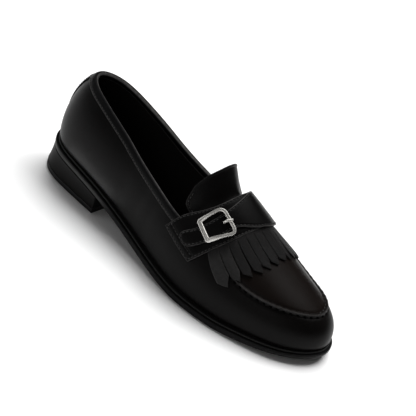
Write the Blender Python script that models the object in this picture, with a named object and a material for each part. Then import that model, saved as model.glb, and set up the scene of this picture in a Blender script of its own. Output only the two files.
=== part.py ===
"""Kiltie loafer, right shoe, in metres.

+X points to the toe, +Y to the inner side of the foot, +Z up, and the floor is z = 0.
Tables give x from the back of the heel; placed() moves every point to the design frame.
The upper is a last: half profiles that rise from the feather edge to the top line.
"""
import math

import bpy
import numpy as np

# Driving sizes
GAP = 0.0003
FRAME_X = 0.1480
FRAME_Y = 0.0023
OUTSOLE_T = 0.0050
OUTSOLE_TOE_CUT = 0.0014
WELT_T = 0.0016
TOP_LIFT_T = 0.0050
INSOLE_T = 0.0030
WALL_T = 0.0022
BREAST_X = 0.0740
HEEL_LEAN = 0.0042
SEAM_HEIGHT = 0.0013
SEAM_BACK_X = 0.2040
SEAM_EDGE_SHARE = 0.028
INNER_RISE = 0.0025
BINDING_DROP = 0.0055
BINDING_T = 0.0008
BINDING_END_X = 0.1490
STAY_T = 0.0010
STAY_TOP_HALF = 0.0080
STAY_LOW_HALF = 0.0050
STAY_LOW_SHARE = 0.34
FRINGE_T = 0.0012
SADDLE_T = 0.0020
THROAT_INSET = 0.0008
SADDLE_TILT = 0.029
STRAP_T = 0.0018
TONGUE_T = 0.0022
TONGUE_GAP = 0.0013
TONGUE_RISE = 0.0115
FRINGE_STRIPS = 13
FRINGE_SLIT = 0.14
FRINGE_ROOT_SHARE = 0.565
FRINGE_TIP_SHARE = 0.670
FRINGE_TIP_X = 0.2432
FRINGE_SWEEP = 0.0420
FRINGE_POINT = 0.0064
FRINGE_FLARE = 0.028
BUCKLE_WIDE = 0.0027
BUCKLE_T = 0.0021
BUCKLE_LIFT = 0.0007
PRONG_R = 0.0009
HEEL_POLE = 0.036
TOE_POLE = 0.247
POLE_SOFT = 0.022

# Feather edge and half profiles: x, y, sole past the feather, bulge, wall share, shoulder share
LAST = {
    "heel_back": (0.0018, 0.0030, 0.0022, 0.0080, 0.46, 0.78),
    "heel_back_out": (0.0120, -0.0175, 0.0022, 0.0065, 0.46, 0.66),
    "heel_out": (0.0430, -0.0265, 0.0026, 0.0085, 0.46, 0.60),
    "waist_out": (0.1100, -0.0310, 0.0038, 0.0085, 0.45, 0.38),
    "ball_out": (0.1880, -0.0430, 0.0045, 0.0060, 0.50, 0.52),
    "toe_out": (0.2550, -0.0300, 0.0041, 0.0040, 0.60, 0.66),
    "tip_out": (0.2860, -0.0100, 0.0029, 0.0030, 0.62, 0.66),
    "tip": (0.2945, 0.0095, 0.0025, 0.0025, 0.62, 0.66),
    "tip_in": (0.2855, 0.0290, 0.0029, 0.0030, 0.57, 0.63),
    "toe_in": (0.2550, 0.0415, 0.0041, 0.0040, 0.53, 0.60),
    "ball_in": (0.2150, 0.0475, 0.0045, 0.0050, 0.50, 0.51),
    "instep_in": (0.1740, 0.0384, 0.0038, 0.0085, 0.475, 0.40),
    "waist_in": (0.1300, 0.0250, 0.0030, 0.0160, 0.46, 0.55),
    "heel_in": (0.0460, 0.0290, 0.0026, 0.0070, 0.46, 0.68),
    "heel_back_in": (0.0130, 0.0230, 0.0022, 0.0065, 0.46, 0.66),
}

# Top line of the last: x, y, z
TOP_LINE = {
    "heel": (0.020, 0.0030, 0.1040),
    "cone": (0.085, 0.0040, 0.1000),
    "throat": (0.125, 0.0040, 0.1040),
    "instep": (0.165, 0.0050, 0.0895),
    "band": (0.185, 0.0060, 0.0800),
    "vamp": (0.205, 0.0070, 0.0694),
    "toe": (0.245, 0.0095, 0.0518),
    "end": (0.262, 0.0100, 0.0458),
}

# Underside of the outsole: x, z; below zero it rests on the floor
SOLE_LINE = {
    "back": (0.000, 0.0242),
    "seat": (0.035, 0.0222),
    "breast": (0.075, 0.0168),
    "shank": (0.105, 0.0106),
    "waist": (0.140, 0.0045),
    "tread": (0.170, 0.0008),
    "ball": (0.192, -0.0004),
    "flex": (0.215, -0.0003),
    "spring": (0.245, 0.0014),
    "toe": (0.275, 0.0042),
    "tip": (0.300, 0.0072),
}

# Edge of the opening seen from the side: x, z
COLLAR = {
    "back": (0.000, 0.0952),
    "rear": (0.020, 0.0918),
    "heel": (0.042, 0.0870),
    "ankle": (0.060, 0.0818),
    "side": (0.081, 0.0752),
    "hollow": (0.097, 0.0695),
    "fore": (0.114, 0.0645),
    "low": (0.131, 0.0603),
    "corner": (0.148, 0.0566),
    "past": (0.186, 0.0540),
}

# Raised seam of the apron: x of the feather, height share of the profile on the outer and inner side
APRON = {
    "heel": (0.000, 0.50, 0.50),
    "waist": (0.120, 0.50, 0.50),
    "band": (0.185, 0.49, 0.52),
    "fringe": (0.215, 0.452, 0.490),
    "vamp": (0.237, 0.442, 0.475),
    "toe": (0.260, 0.474, 0.486),
    "round": (0.282, 0.514, 0.519),
    "tip": (0.300, 0.530, 0.530),
}

# Saddle across the instep: side share (-1 outer feather, 0 top line, 1 inner feather), rear x, front x
SADDLE = {
    "outer_end": (-0.728, 0.1498, 0.1832),
    "outer_low": (-0.650, 0.1543, 0.1882),
    "outer_corner": (-0.580, 0.1578, 0.1922),
    "outer_mid": (-0.420, 0.1692, 0.1997),
    "outer_top": (-0.200, 0.1782, 0.2055),
    "top": (0.000, 0.1800, 0.2080),
    "inner_top": (0.200, 0.1780, 0.2070),
    "inner_mid": (0.420, 0.1695, 0.1995),
    "inner_corner": (0.580, 0.1605, 0.1905),
    "inner_end": (0.640, 0.1570, 0.1865),
}

# Strap over the saddle, from its inner end to the tip past the buckle: side share, rear x, front x
STRAP = {
    "inner_end": (0.760, 0.1480, 0.1760),
    "inner_low": (0.640, 0.1560, 0.1850),
    "inner_mid": (0.420, 0.1690, 0.2002),
    "inner_top": (0.200, 0.1778, 0.2078),
    "top": (0.000, 0.1820, 0.2085),
    "narrowing": (-0.130, 0.1838, 0.2042),
    "entry": (-0.260, 0.1836, 0.1974),
    "buckle": (-0.380, 0.1815, 0.1948),
    "past_buckle": (-0.500, 0.1764, 0.1898),
    "tip_wide": (-0.600, 0.1692, 0.1830),
    "tip_round": (-0.650, 0.1672, 0.1780),
    "tip": (-0.672, 0.1696, 0.1748),
}

# Buckle frame corners along its middle line: side share, x
BUCKLE = {
    "outer_rear": (-0.4806, 0.1743),
    "inner_rear": (-0.2743, 0.1803),
    "inner_front": (-0.2926, 0.2011),
    "outer_front": (-0.5116, 0.1892),
}

# Tongue: reach behind the saddle's rear edge, half width in side share
TONGUE = {
    "root": (-0.0120, 0.300),
    "under": (-0.0040, 0.480),
    "edge": (0.0010, 0.525),
    "free": (0.0080, 0.515),
    "upper": (0.0130, 0.468),
    "round": (0.0170, 0.410),
    "corner": (0.0200, 0.350),
    "top": (0.0222, 0.240),
}


def table(rows):
    """Rows of a named table as an array."""
    return np.array(list(rows.values()), float)


def spline(knots, values, period=None):
    """Smooth curve through the values at the knots; closed where a period is given."""
    t = np.asarray(knots, float)
    y = np.asarray(values, float)
    n = len(t)
    if period is not None:
        t = np.append(t, t[0] + period)
        y = np.vstack([y, y[:1]])
    step = np.diff(t)
    rise = np.diff(y, axis=0) / step[:, None]
    lhs = np.zeros((len(t), len(t)))
    rhs = np.zeros_like(y)
    for i in range(1, len(t) - 1):
        lhs[i, i - 1:i + 2] = 1 / step[i - 1], 2 / step[i - 1] + 2 / step[i], 1 / step[i]
        rhs[i] = 3 * (rise[i - 1] / step[i - 1] + rise[i] / step[i])
    if period is None:
        lhs[0, :2] = 2, 1
        lhs[-1, -2:] = 1, 2
        rhs[0] = 3 * rise[0]
        rhs[-1] = 3 * rise[-1]
    else:
        lhs[0, [0, 1, n - 1]] = 2 / step[-1] + 2 / step[0], 1 / step[0], 1 / step[-1]
        rhs[0] = 3 * (rise[-1] / step[-1] + rise[0] / step[0])
        lhs[n, [0, n]] = 1, -1
    slope = np.linalg.solve(lhs, rhs)

    def at(x):
        x = np.atleast_1d(np.asarray(x, float))
        x = np.clip(x, t[0], t[-1]) if period is None else t[0] + np.mod(x - t[0], period)
        i = np.clip(np.searchsorted(t, x, side="right") - 1, 0, len(t) - 2)
        h = step[i]
        u = ((x - t[i]) / h)[:, None]
        h = h[:, None]
        return ((1 + 2 * u) * (1 - u) ** 2 * y[i] + u * (1 - u) ** 2 * h * slope[i]
                + u * u * (3 - 2 * u) * y[i + 1] + u * u * (u - 1) * h * slope[i + 1])

    return at


def curve_of(rows):
    """Curve through a table, driven by its first column."""
    data = table(rows)
    return spline(data[:, 0], data[:, 1:])


# Outline of the feather, run from the heel back along the outer side to the toe and back
rows = table(LAST)
legs = np.linalg.norm(np.diff(np.vstack([rows[:, :2], rows[:1, :2]]), axis=0), axis=1)
AROUND = legs.sum()
outline = spline(np.concatenate([[0], np.cumsum(legs)[:-1]]), rows, period=AROUND)
dense_t = np.linspace(0, AROUND, 8001)
dense_x = outline(dense_t)[:, 0]
T_FRONT = dense_t[dense_x.argmax()]
T_BACK = dense_t[dense_x.argmin()] - (AROUND if dense_x.argmin() > 4000 else 0)
X_BACK, X_FRONT = dense_x.min(), dense_x.max()
outer_t = np.linspace(T_BACK, T_FRONT, 4001)
inner_t = np.linspace(T_BACK + AROUND, T_FRONT, 4001)
outer_x = outline(outer_t)[:, 0]
inner_x = outline(inner_t)[:, 0]
top_line = curve_of(TOP_LINE)
sole_line = curve_of(SOLE_LINE)
collar_line = curve_of(COLLAR)
apron_line = curve_of(APRON)
saddle_line = curve_of(SADDLE)
outer_share = np.linspace(SADDLE["outer_end"][0], 0, 200)
inner_share = np.linspace(SADDLE["inner_end"][0], 0, 200)
throat_outer = saddle_line(outer_share)[:, 0], 1 + outer_share
throat_inner = saddle_line(inner_share)[:, 0], 1 - inner_share
strap_line = spline(-table(STRAP)[:, 0], table(STRAP)[:, 1:])


def sole_z(x):
    """Height of the outsole's underside."""
    return np.maximum(sole_line(x)[:, 0], 0.0)


def sole_top(x):
    """Top of the outsole, which is thinner towards the toe."""
    return sole_z(x) + OUTSOLE_T - OUTSOLE_TOE_CUT * smooth((x - 0.235) / 0.050)


def feather_z(x):
    """Height of the welt's top, where the upper starts."""
    return sole_top(x) + WELT_T + 2 * GAP


def outline_t(x, side):
    """Place on the outline at x; side below zero is the outer one."""
    x = np.clip(x, X_BACK, X_FRONT)
    return np.where(np.asarray(side) < 0, np.interp(x, outer_x, outer_t), np.interp(x, inner_x, inner_t))


def outline_point(t, past):
    """Points of the outline, moved outwards by a share of the sole's reach past it plus a length."""
    t = np.atleast_1d(t)
    row = outline(t)
    along = outline(t + 1e-4)[:, :2] - outline(t - 1e-4)[:, :2]
    along /= np.linalg.norm(along, axis=1)[:, None]
    out = np.column_stack([along[:, 1], -along[:, 0]])
    share, length = past
    return row[:, :2] + out * (share * row[:, 2] + length)[:, None]


def soft_excess(d):
    """Smooth version of max(d, 0)."""
    return 0.5 * (d + np.sqrt(d * d + POLE_SOFT ** 2))


def last_point(t, v):
    """Outside of the last above outline place t; v is 0 at the feather and 1 on the top line."""
    t, v = np.broadcast_arrays(np.atleast_1d(np.asarray(t, float)), np.asarray(v, float))
    row = outline(t)
    x = row[:, 0]
    spine = x - soft_excess(x - TOE_POLE) + soft_excess(HEEL_POLE - x)
    mid = top_line(spine)
    fall = (top_line(spine + 1e-4)[:, 1] - top_line(spine - 1e-4)[:, 1]) / 2e-4
    pole = np.column_stack([spine, mid[:, 0]])
    away = row[:, :2] - pole
    reach = np.linalg.norm(away, axis=1)
    away /= reach[:, None]
    low = feather_z(x)
    rise = mid[:, 1] - low
    inner = row[:, 5] * reach
    shoulder = mid[:, 1] + fall * away[:, 0] * inner
    w = ((1 - v) ** 3, 3 * v * (1 - v) ** 2, 3 * v * v * (1 - v), v ** 3)
    h = w[0] * reach + w[1] * (reach + row[:, 3]) + w[2] * inner
    z = w[0] * low + w[1] * (low + row[:, 4] * rise) + w[2] * shoulder + w[3] * mid[:, 1]
    return np.column_stack([pole + away * h[:, None], z])


def last_normal(t, v):
    """Outward unit normals of the last."""
    t, v = np.broadcast_arrays(np.atleast_1d(np.asarray(t, float)), np.asarray(v, float))
    v = np.clip(v, 0.0, 0.985)
    dt, dv = 2e-4, 2e-3
    a = last_point(t + dt, v) - last_point(t - dt, v)
    b = last_point(t, v + dv) - last_point(t, v - dv)
    n = np.cross(a, b)
    return n / np.linalg.norm(n, axis=1)[:, None]


def on_last(x, share, off=0.0):
    """Points over the upper: feather x, side share from -1 (outer) to 1 (inner), height above the last."""
    x, share, off = np.broadcast_arrays(*(np.atleast_1d(np.asarray(q, float)) for q in (x, share, off)))
    share = np.where(np.abs(share) < 1e-6, 1e-6, share)
    t = outline_t(x, share)
    v = 1 - np.abs(share)
    return last_point(t, v) + last_normal(t, v) * off[:, None]


def smooth(d):
    """Smooth step from 0 to 1."""
    d = np.clip(d, 0.0, 1.0)
    return d * d * (3 - 2 * d)


def opening_share(t):
    """Share v of each half profile at which the opening's edge lies; 1 in front of the throat."""
    t = np.atleast_1d(t)
    low, high = np.zeros(len(t)), np.ones(len(t))
    x = outline(t)[:, 0] - THROAT_INSET
    is_outer = np.mod(t - T_BACK, AROUND) <= T_FRONT - T_BACK
    raised = np.where(is_outer, 0.0, INNER_RISE * smooth(x / 0.06))
    for _ in range(30):
        mid = (low + high) / 2
        p = last_point(t, mid)
        above = p[:, 2] > collar_line(p[:, 0])[:, 0] + raised
        high = np.where(above, mid, high)
        low = np.where(above, low, mid)
    throat = np.where(is_outer, np.interp(x, *throat_outer), np.interp(x, *throat_inner))
    return np.maximum(low, throat)


def placed(points):
    """Points moved from the tables' axes to the design frame."""
    return np.asarray(points, float) - (FRAME_X, FRAME_Y, 0.0)


def material(name, colour, metallic, roughness):
    """Principled material of one piece."""
    mat = bpy.data.materials.new(name)
    mat.use_nodes = True
    shader = mat.node_tree.nodes["Principled BSDF"]
    shader.inputs["Base Color"].default_value = (*colour, 1.0)
    shader.inputs["Metallic"].default_value = metallic
    shader.inputs["Roughness"].default_value = roughness
    return mat


def solid(name, points, faces, mat):
    """Closed mesh object from points and faces, with outward normals."""
    mesh = bpy.data.meshes.new(name)
    mesh.from_pydata([tuple(p) for p in placed(points)], [], faces)
    mesh.validate()
    mesh.materials.append(mat)
    obj = bpy.data.objects.new(name, mesh)
    bpy.context.scene.collection.objects.link(obj)
    volume = 0.0
    mesh.calc_loop_triangles()
    for tri in mesh.loop_triangles:
        a, b, c = (mesh.vertices[i].co for i in tri.vertices)
        volume += a.dot(b.cross(c))
    if volume < 0:
        mesh.flip_normals()
    mesh.polygons.foreach_set("use_smooth", [True] * len(mesh.polygons))
    return obj


def sheet(name, outside, inside, mat, kept=None):
    """Solid between two grids of points; kept marks the cells that exist."""
    rows_n, cols_n = outside.shape[:2]
    if kept is None:
        kept = np.ones((rows_n - 1, cols_n - 1), bool)
    used = {}
    points = []
    faces = []

    def corner(layer, i, j):
        key = (layer, i, j)
        if key not in used:
            used[key] = len(points)
            points.append((outside, inside)[layer][i, j])
        return used[key]

    for i in range(rows_n - 1):
        for j in range(cols_n - 1):
            if not kept[i, j]:
                continue
            ring = ((i, j), (i + 1, j), (i + 1, j + 1), (i, j + 1))
            faces.append([corner(0, *p) for p in ring])
            faces.append([corner(1, *p) for p in reversed(ring)])
            beyond = ((i, j - 1), (i + 1, j), (i, j + 1), (i - 1, j))
            for k, (bi, bj) in enumerate(beyond):
                inside_grid = 0 <= bi < rows_n - 1 and 0 <= bj < cols_n - 1
                if inside_grid and kept[bi, bj]:
                    continue
                p, r = ring[k], ring[(k + 1) % 4]
                faces.append([corner(0, *r), corner(0, *p), corner(1, *p), corner(1, *r)])
    return solid(name, points, faces, mat)


def stations(count, start=X_BACK, end=X_FRONT):
    """x of the cross sections, closer together towards the ends where the outline turns."""
    turn = math.pi if end == X_FRONT and start == X_BACK else math.pi / 2
    s = np.linspace(0, 1, count)
    if start == X_BACK:
        s = 0.12 * s + 0.88 * (1 - np.cos(turn * s)) / (1 - math.cos(turn))
    else:
        s = 0.12 * s + 0.88 * np.sin(turn * s)
    return start + (end - start) * s


def quarter_stations():
    """x of the sections behind the saddle, shared by the upper and its binding."""
    return stations(16, X_BACK, BINDING_END_X)


def slab(name, past_rows, heights, count, across, mat, end_x=None, lean=0.0):
    """Solid plate with the shoe's outline, whole or cut square across at end_x.

    past_rows gives, from the bottom up, how far each rim line lies past the feather and its height share;
    heights gives the underside's and the top's z over x; lean carries the back end rearwards at the floor.
    """
    xs = stations(count) if end_x is None else stations(count, X_BACK, end_x)
    side_x = xs[1:-1] if end_x is None else xs[1:]
    outer = [T_BACK, *outline_t(side_x, -1)]
    inner = outline_t(side_x, 1)[::-1]
    low, high = heights
    high_seat = SOLE_LINE["back"][1]
    rings = []
    for share, length, level in past_rows:
        one, two = outline_point(outer, (share, length)), outline_point(inner, (share, length))
        if end_x is None:
            front = outline_point([T_FRONT], (share, length))
        else:
            one[-1, 0] = two[0, 0] = end_x
            front = one[-1] + (two[0] - one[-1]) * (np.arange(1, across) / across)[:, None]
        ring = np.vstack([one, front, two])
        z = low(ring[:, 0]) * (1 - level) + high(ring[:, 0]) * level
        if end_x is not None:
            ring[:, 0] -= lean * (1 - z / high_seat) * (1 - ring[:, 0] / end_x)
        rings.append(np.column_stack([ring, z]))
    size = len(rings[0])
    faces = []
    for r in range(len(rings) - 1):
        for k in range(size):
            m = (k + 1) % size
            faces.append([r * size + k, r * size + m, (r + 1) * size + m, (r + 1) * size + k])
    points = list(np.vstack(rings))
    whole = len(side_x) if end_x is None else len(side_x) - 1
    for level, ring, base in ((0, rings[0], 0), (1, rings[-1], (len(rings) - 1) * size)):
        lines = [[base]]
        for i in range(1, whole + 1):
            a, b = ring[i], ring[size - i]
            line = [base + i]
            for k in range(1, across):
                p = a + (b - a) * k / across
                p[2] = (low, high)[level](p[:1])[0]
                line.append(len(points))
                points.append(p)
            lines.append([*line, base + size - i])
        lines.append([base + k for k in range(whole + 1, size - whole)])
        for one, two in zip(lines[:-1], lines[1:]):
            for k in range(across):
                quad = [one[min(k, len(one) - 1)], two[min(k, len(two) - 1)],
                        two[min(k + 1, len(two) - 1)], one[min(k + 1, len(one) - 1)]]
                quad = [p for n, p in enumerate(quad) if p != quad[n - 1]]
                faces.append(quad if level else quad[::-1])
    return solid(name, points, faces, mat)


def build_upper(mat):
    """Hollow upper with its opening, its lasting edge and the apron's raised seam."""
    xs = np.concatenate([quarter_stations(), np.linspace(0.1535, 0.1815, 8), stations(17, 0.187, X_FRONT)])
    half = len(xs)
    outer = outline_t(xs[1:-1], -1)
    inner = outline_t(xs[1:-1], 1)
    loop_t = np.array([T_BACK, *outer, T_FRONT, *inner[::-1]])
    loop_x = np.array([*xs, *xs[1:-1][::-1]])
    loop_side = np.array([-1] * half + [1] * (half - 2))
    top = opening_share(loop_t)
    for k in range(1, half - 1):
        if top[k] == 1.0 or top[-k] == 1.0:
            top[k] = top[-k] = 1.0
    seam = np.where(loop_side < 0, apron_line(loop_x)[:, 0], apron_line(loop_x)[:, 1])
    open_seam = np.minimum(seam, 0.62 * top)
    levels = (0.0, 0.14, 0.30, 0.48, 0.66, 0.84, 1.0, 1.16, 1.34, 1.55, 1.78, 2.0)
    fade = smooth((loop_x - SEAM_BACK_X) / 0.015)
    size = len(loop_t)
    outside = np.zeros((size, len(levels), 3))
    inside = np.zeros_like(outside)
    for r, level in enumerate(levels):
        if level == 0.84:
            v = open_seam - SEAM_EDGE_SHARE
        elif level <= 1.0:
            v = open_seam * level
        else:
            v = open_seam + (top - open_seam) * (level - 1)
        if level == 1.16:
            v = np.where(top > 0.9, open_seam + SEAM_EDGE_SHARE, v)
        n = last_normal(loop_t, v)
        raised = SEAM_HEIGHT * fade if level == 1.0 else 0.0
        p = last_point(loop_t, v)
        outside[:, r] = p + n * np.atleast_1d(raised)[:, None]
        inside[:, r] = p - n * WALL_T
    # The wall stands square on the welt
    inside[:, 0, 2] = outside[:, 0, 2]
    points = []
    index = np.zeros((2, size, len(levels)), int)
    last_row = len(levels) - 1
    for layer, grid in enumerate((outside, inside)):
        for k in range(size):
            for r in range(len(levels)):
                twin = size - k
                if r == last_row and k > half - 1 and top[k] == 1.0:
                    index[layer, k, r] = index[layer, twin, r]
                    continue
                index[layer, k, r] = len(points)
                points.append(grid[k, r])
    faces = []
    for k in range(size):
        m = (k + 1) % size
        for r in range(last_row):
            for layer in (0, 1):
                one, two = index[layer, k], index[layer, m]
                quad = [one[r], two[r], two[r + 1], one[r + 1]]
                faces.append(quad if layer == 0 else quad[::-1])
        faces.append([index[0, m, 0], index[0, k, 0], index[1, k, 0], index[1, m, 0]])
        if not (top[k] == 1.0 and top[m] == 1.0):
            faces.append([index[0, k, last_row], index[0, m, last_row],
                          index[1, m, last_row], index[1, k, last_row]])
    return solid("upper", points, faces, mat)


def build_heel(name, heights, inset, mat):
    """Block of the heel between two levels, cut square at the breast; inset holds its rims' inset."""
    past = [(1.0, -inset[0] - (inset[1] - inset[0]) * level, level) for level in (0.0, 0.5, 1.0)]
    return slab(name, past, heights, 22, 4, mat, end_x=BREAST_X, lean=HEEL_LEAN)


def band_grid(edges, shares, steps, off):
    """Grid over the upper between a band's rear and front edges, at a height off above the last."""
    grid = np.zeros((len(shares), len(steps), 3))
    for j, s in enumerate(steps):
        grid[:, j] = on_last(edges[:, 0] + (edges[:, 1] - edges[:, 0]) * s, shares, off)
    return grid


def strap_under(share):
    """Clearance under the strap: over the saddle, and down on the upper at its inner end."""
    end = SADDLE["inner_end"][0]
    return GAP + (SADDLE_T + GAP) * smooth((end + 0.075 - share) / 0.065)


def saddle_share(share, step):
    """Side share of a point of the saddle, whose outer end is cut at a slant; step runs rear to front."""
    return share + SADDLE_TILT * smooth((-share - 0.45) / 0.25) * (0.5 - step)


def build_saddle(mat):
    """Band across the instep that covers the ends of the collar."""
    shares = np.linspace(SADDLE["outer_end"][0], SADDLE["inner_end"][0], 21)
    edges = saddle_line(shares)
    steps = np.linspace(0, 1, 5)
    grid = np.zeros((2, len(shares), len(steps), 3))
    for j, s in enumerate(steps):
        x = edges[:, 0] + (edges[:, 1] - edges[:, 0]) * s
        share = saddle_share(shares, s)
        grid[0, :, j] = on_last(x, share, GAP + SADDLE_T)
        grid[1, :, j] = on_last(x, share, GAP)
    return sheet("saddle", grid[0], grid[1], mat)


def build_strap(mat):
    """Strap from the inner side over the saddle, through the buckle to its rounded tip."""
    inner_end, tip = STRAP["inner_end"][0], STRAP["tip"][0]
    shares = np.concatenate([np.linspace(inner_end, 0.62, 6), np.linspace(0.56, -0.56, 15),
                             (-0.60, -0.635, -0.66, tip)])
    edges = strap_line(-shares)
    steps = np.linspace(0, 1, 5)
    low = strap_under(shares)
    outside = band_grid(edges, shares, steps, low + STRAP_T)
    return sheet("strap", outside, band_grid(edges, shares, steps, low), mat)


def build_fringe(mat):
    """Fringe: a root band in front of the saddle and pointed strips, all one piece."""
    half = FRINGE_SLIT / 2
    columns = [(k + half, k + 0.5, k + 1 - half) for k in range(FRINGE_STRIPS)]
    columns = np.concatenate(columns) / FRINGE_STRIPS
    middle = (np.repeat(np.arange(FRINGE_STRIPS), 3) + 0.5) / FRINGE_STRIPS
    at_side = np.arange(len(columns)) % 3 != 1
    steps = (0.0, 0.12, 0.30, 0.50, 0.74, 1.0)
    grid = np.zeros((2, len(columns), len(steps), 3))
    for j, s in enumerate(steps):
        spread = FRINGE_ROOT_SHARE + (FRINGE_TIP_SHARE - FRINGE_ROOT_SHARE) * s
        share = (2 * columns - 1) * spread - FRINGE_FLARE * s * (columns == columns[0])
        start = saddle_line(share)[:, 1] + 2 * GAP
        tip_share = np.abs(2 * middle - 1) * FRINGE_TIP_SHARE
        end = FRINGE_TIP_X - FRINGE_SWEEP * tip_share ** 1.6 - FRINGE_POINT * at_side * (s == 1.0)
        x = start + (end - start) * s
        seam = 1 - np.where(share < 0, *apron_line(x).T)
        lift = GAP + SEAM_HEIGHT * smooth(s / 0.3) * np.exp(-((np.abs(share) - seam) / 0.075) ** 2)
        grid[0, :, j] = on_last(x, share, lift + FRINGE_T)
        grid[1, :, j] = on_last(x, share, lift)
    kept = np.ones((len(columns) - 1, len(steps) - 1), bool)
    kept[2::3, 1:] = False
    return sheet("fringe", grid[0], grid[1], mat, kept)


def tongue_lift(reach):
    """Height of the tongue over the last: inside the upper at its root, then rising clear of the instep."""
    under = -(WALL_T + TONGUE_GAP)
    return under + TONGUE_RISE * np.clip((reach - 0.0020) / 0.0205, 0, None) ** 1.3


def build_tongue(mat):
    """Tongue from under the band to its free, rounded end above the instep."""
    data = table(TONGUE)
    row = spline(np.linspace(0, 1, len(data)), data)(np.linspace(0, 1, 14))
    side = np.linspace(-1, 1, 11)
    grid = np.zeros((2, len(row), len(side), 3))
    for j, c in enumerate(side):
        share = c * row[:, 1]
        x = saddle_line(share)[:, 0] - row[:, 0]
        lift = tongue_lift(row[:, 0])
        grid[0, :, j] = on_last(x, share, lift)
        grid[1, :, j] = on_last(x, share, lift - TONGUE_T)
    return sheet("tongue", grid[0], grid[1], mat)


def binding_drop(t, top):
    """Depth of the binding below the collar's edge, in profile share."""
    rise = np.linalg.norm(last_point(t, top) - last_point(t, top - 0.05), axis=1) / 0.05
    return BINDING_DROP / rise


def build_binding(mat):
    """Folded binding over the collar's edge, from one end of the saddle round the heel to the other."""
    xs = quarter_stations()[1:]
    loop_t = np.array([*outline_t(xs[::-1], -1), T_BACK, *(outline_t(xs, 1) - AROUND)])
    top = opening_share(loop_t)
    drop = binding_drop(loop_t, top)
    section = (
        (-1.0, GAP), (-1.0, GAP + BINDING_T), (-0.5, GAP + BINDING_T), (-0.04, GAP + BINDING_T),
        (0.14, 0.0), (0.18, -WALL_T / 2), (0.14, -WALL_T),
        (-0.04, -WALL_T - GAP - BINDING_T), (-0.9, -WALL_T - GAP - BINDING_T), (-0.9, -WALL_T - GAP),
        (0.05, -WALL_T - GAP), (0.05, GAP),
    )
    rings = []
    for share, off in section:
        v = np.clip(top + share * drop, 0, 1)
        rings.append(last_point(loop_t, v) + last_normal(loop_t, v) * off)
    rings = np.array(rings)
    count, size = rings.shape[:2]
    points = rings.transpose(1, 0, 2).reshape(-1, 3)
    faces = []
    for k in range(size - 1):
        for r in range(count):
            q = (r + 1) % count
            faces.append([k * count + r, (k + 1) * count + r, (k + 1) * count + q, k * count + q])
    for base, flip in ((0, False), ((size - 1) * count, True)):
        ends = [(0, 1, 2, 11), (2, 3, 4, 11), (4, 5, 10, 11), (5, 6, 7, 10), (7, 8, 9, 10)]
        for face in ends:
            quad = [base + p for p in face]
            faces.append(quad[::-1] if flip else quad)
    return solid("collar_binding", points, faces, mat)


def build_stay(mat):
    """Strip over the back seam, wide under the collar and narrow half way down."""
    levels = np.linspace(0, 1, 9)
    side = np.linspace(-1, 1, 7)
    grid = np.zeros((2, len(levels), len(side), 3))
    for i, s in enumerate(levels):
        t = T_BACK + side * (STAY_TOP_HALF + (STAY_LOW_HALF - STAY_TOP_HALF) * s)
        top = opening_share(t)
        high = top - 1.12 * binding_drop(t, top)
        v = high - (high - STAY_LOW_SHARE * top) * s
        for layer, off in ((0, GAP + STAY_T), (1, GAP)):
            grid[layer, i] = last_point(t, v) + last_normal(t, v) * off
    return sheet("back_stay", grid[0], grid[1], mat)


def ring_sweep(name, path, width_dirs, section, mat, closed=True):
    """Section swept along a path; width_dirs holds the two unit vectors of the section at each place."""
    count, size = len(section), len(path)
    across, up = width_dirs
    points = []
    for k in range(size):
        for a, b in section:
            points.append(path[k] + across[k] * a + up[k] * b)
    faces = []
    for k in range(size if closed else size - 1):
        m = (k + 1) % size
        for r in range(count):
            q = (r + 1) % count
            faces.append([k * count + r, m * count + r, m * count + q, k * count + q])
    if not closed:
        faces.append(list(range(count)))
        faces.append([(size - 1) * count + r for r in reversed(range(count))])
    return solid(name, points, faces, mat)


def frame_height(share):
    """Level of the metal's underside over the strap."""
    return strap_under(share) + STRAP_T + BUCKLE_LIFT


def build_buckle(mat):
    """Four-sided frame that lies round the strap's end, curved with the instep."""
    corners = table(BUCKLE)
    rounding = (0.12, 0.30, 0.30, 0.12)
    path = []
    for k in range(4):
        here, before, after = corners[k], corners[k - 1], corners[(k + 1) % 4]
        r = rounding[k]
        for s in np.linspace(0, 1, 5):
            path.append((1 - s) ** 2 * (here + (before - here) * r)
                        + 2 * s * (1 - s) * here + s * s * (here + (after - here) * r))
        next_r = rounding[(k + 1) % 4]
        path.append((here + after + (after - here) * (r - next_r)) / 2)
    path = np.array(path)
    share, x = path[:, 0], path[:, 1]
    low = on_last(x, share, frame_height(share))
    high = on_last(x, share, frame_height(share) + BUCKLE_T)
    up = (high - low) / BUCKLE_T
    along = np.roll(low, -1, axis=0) - np.roll(low, 1, axis=0)
    across = np.cross(up, along)
    across /= np.linalg.norm(across, axis=1)[:, None]
    half = BUCKLE_WIDE / 2
    bevel = 0.45 * BUCKLE_T
    flat = 0.55 * half
    section = ((-half, 0.0), (half, 0.0), (half, bevel),
               (flat, BUCKLE_T), (-flat, BUCKLE_T), (-half, bevel))
    return ring_sweep("buckle_frame", low, (across, up), section, mat)


def build_prong(mat):
    """Pin that leaves the strap's hole and rests on the frame's inner bar."""
    share = np.linspace(-0.338, -0.250, 9)
    x = np.linspace(0.1885, 0.1919, 9)
    s = np.linspace(0, 1, 9)
    level = frame_height(share) + PRONG_R + (BUCKLE_T + GAP) * smooth((s - 0.02) / 0.26)
    path = on_last(x, share, level)
    along = np.gradient(path, axis=0)
    up = on_last(x, share, level + 0.001) - path
    across = np.cross(up, along)
    across /= np.linalg.norm(across, axis=1)[:, None]
    up = np.cross(along, across)
    up /= np.linalg.norm(up, axis=1)[:, None]
    section = [(PRONG_R * math.cos(a), PRONG_R * math.sin(a)) for a in np.linspace(0, 2 * math.pi, 9)[:-1]]
    return ring_sweep("buckle_prong", path, (across, up), section, mat, closed=False)


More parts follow.
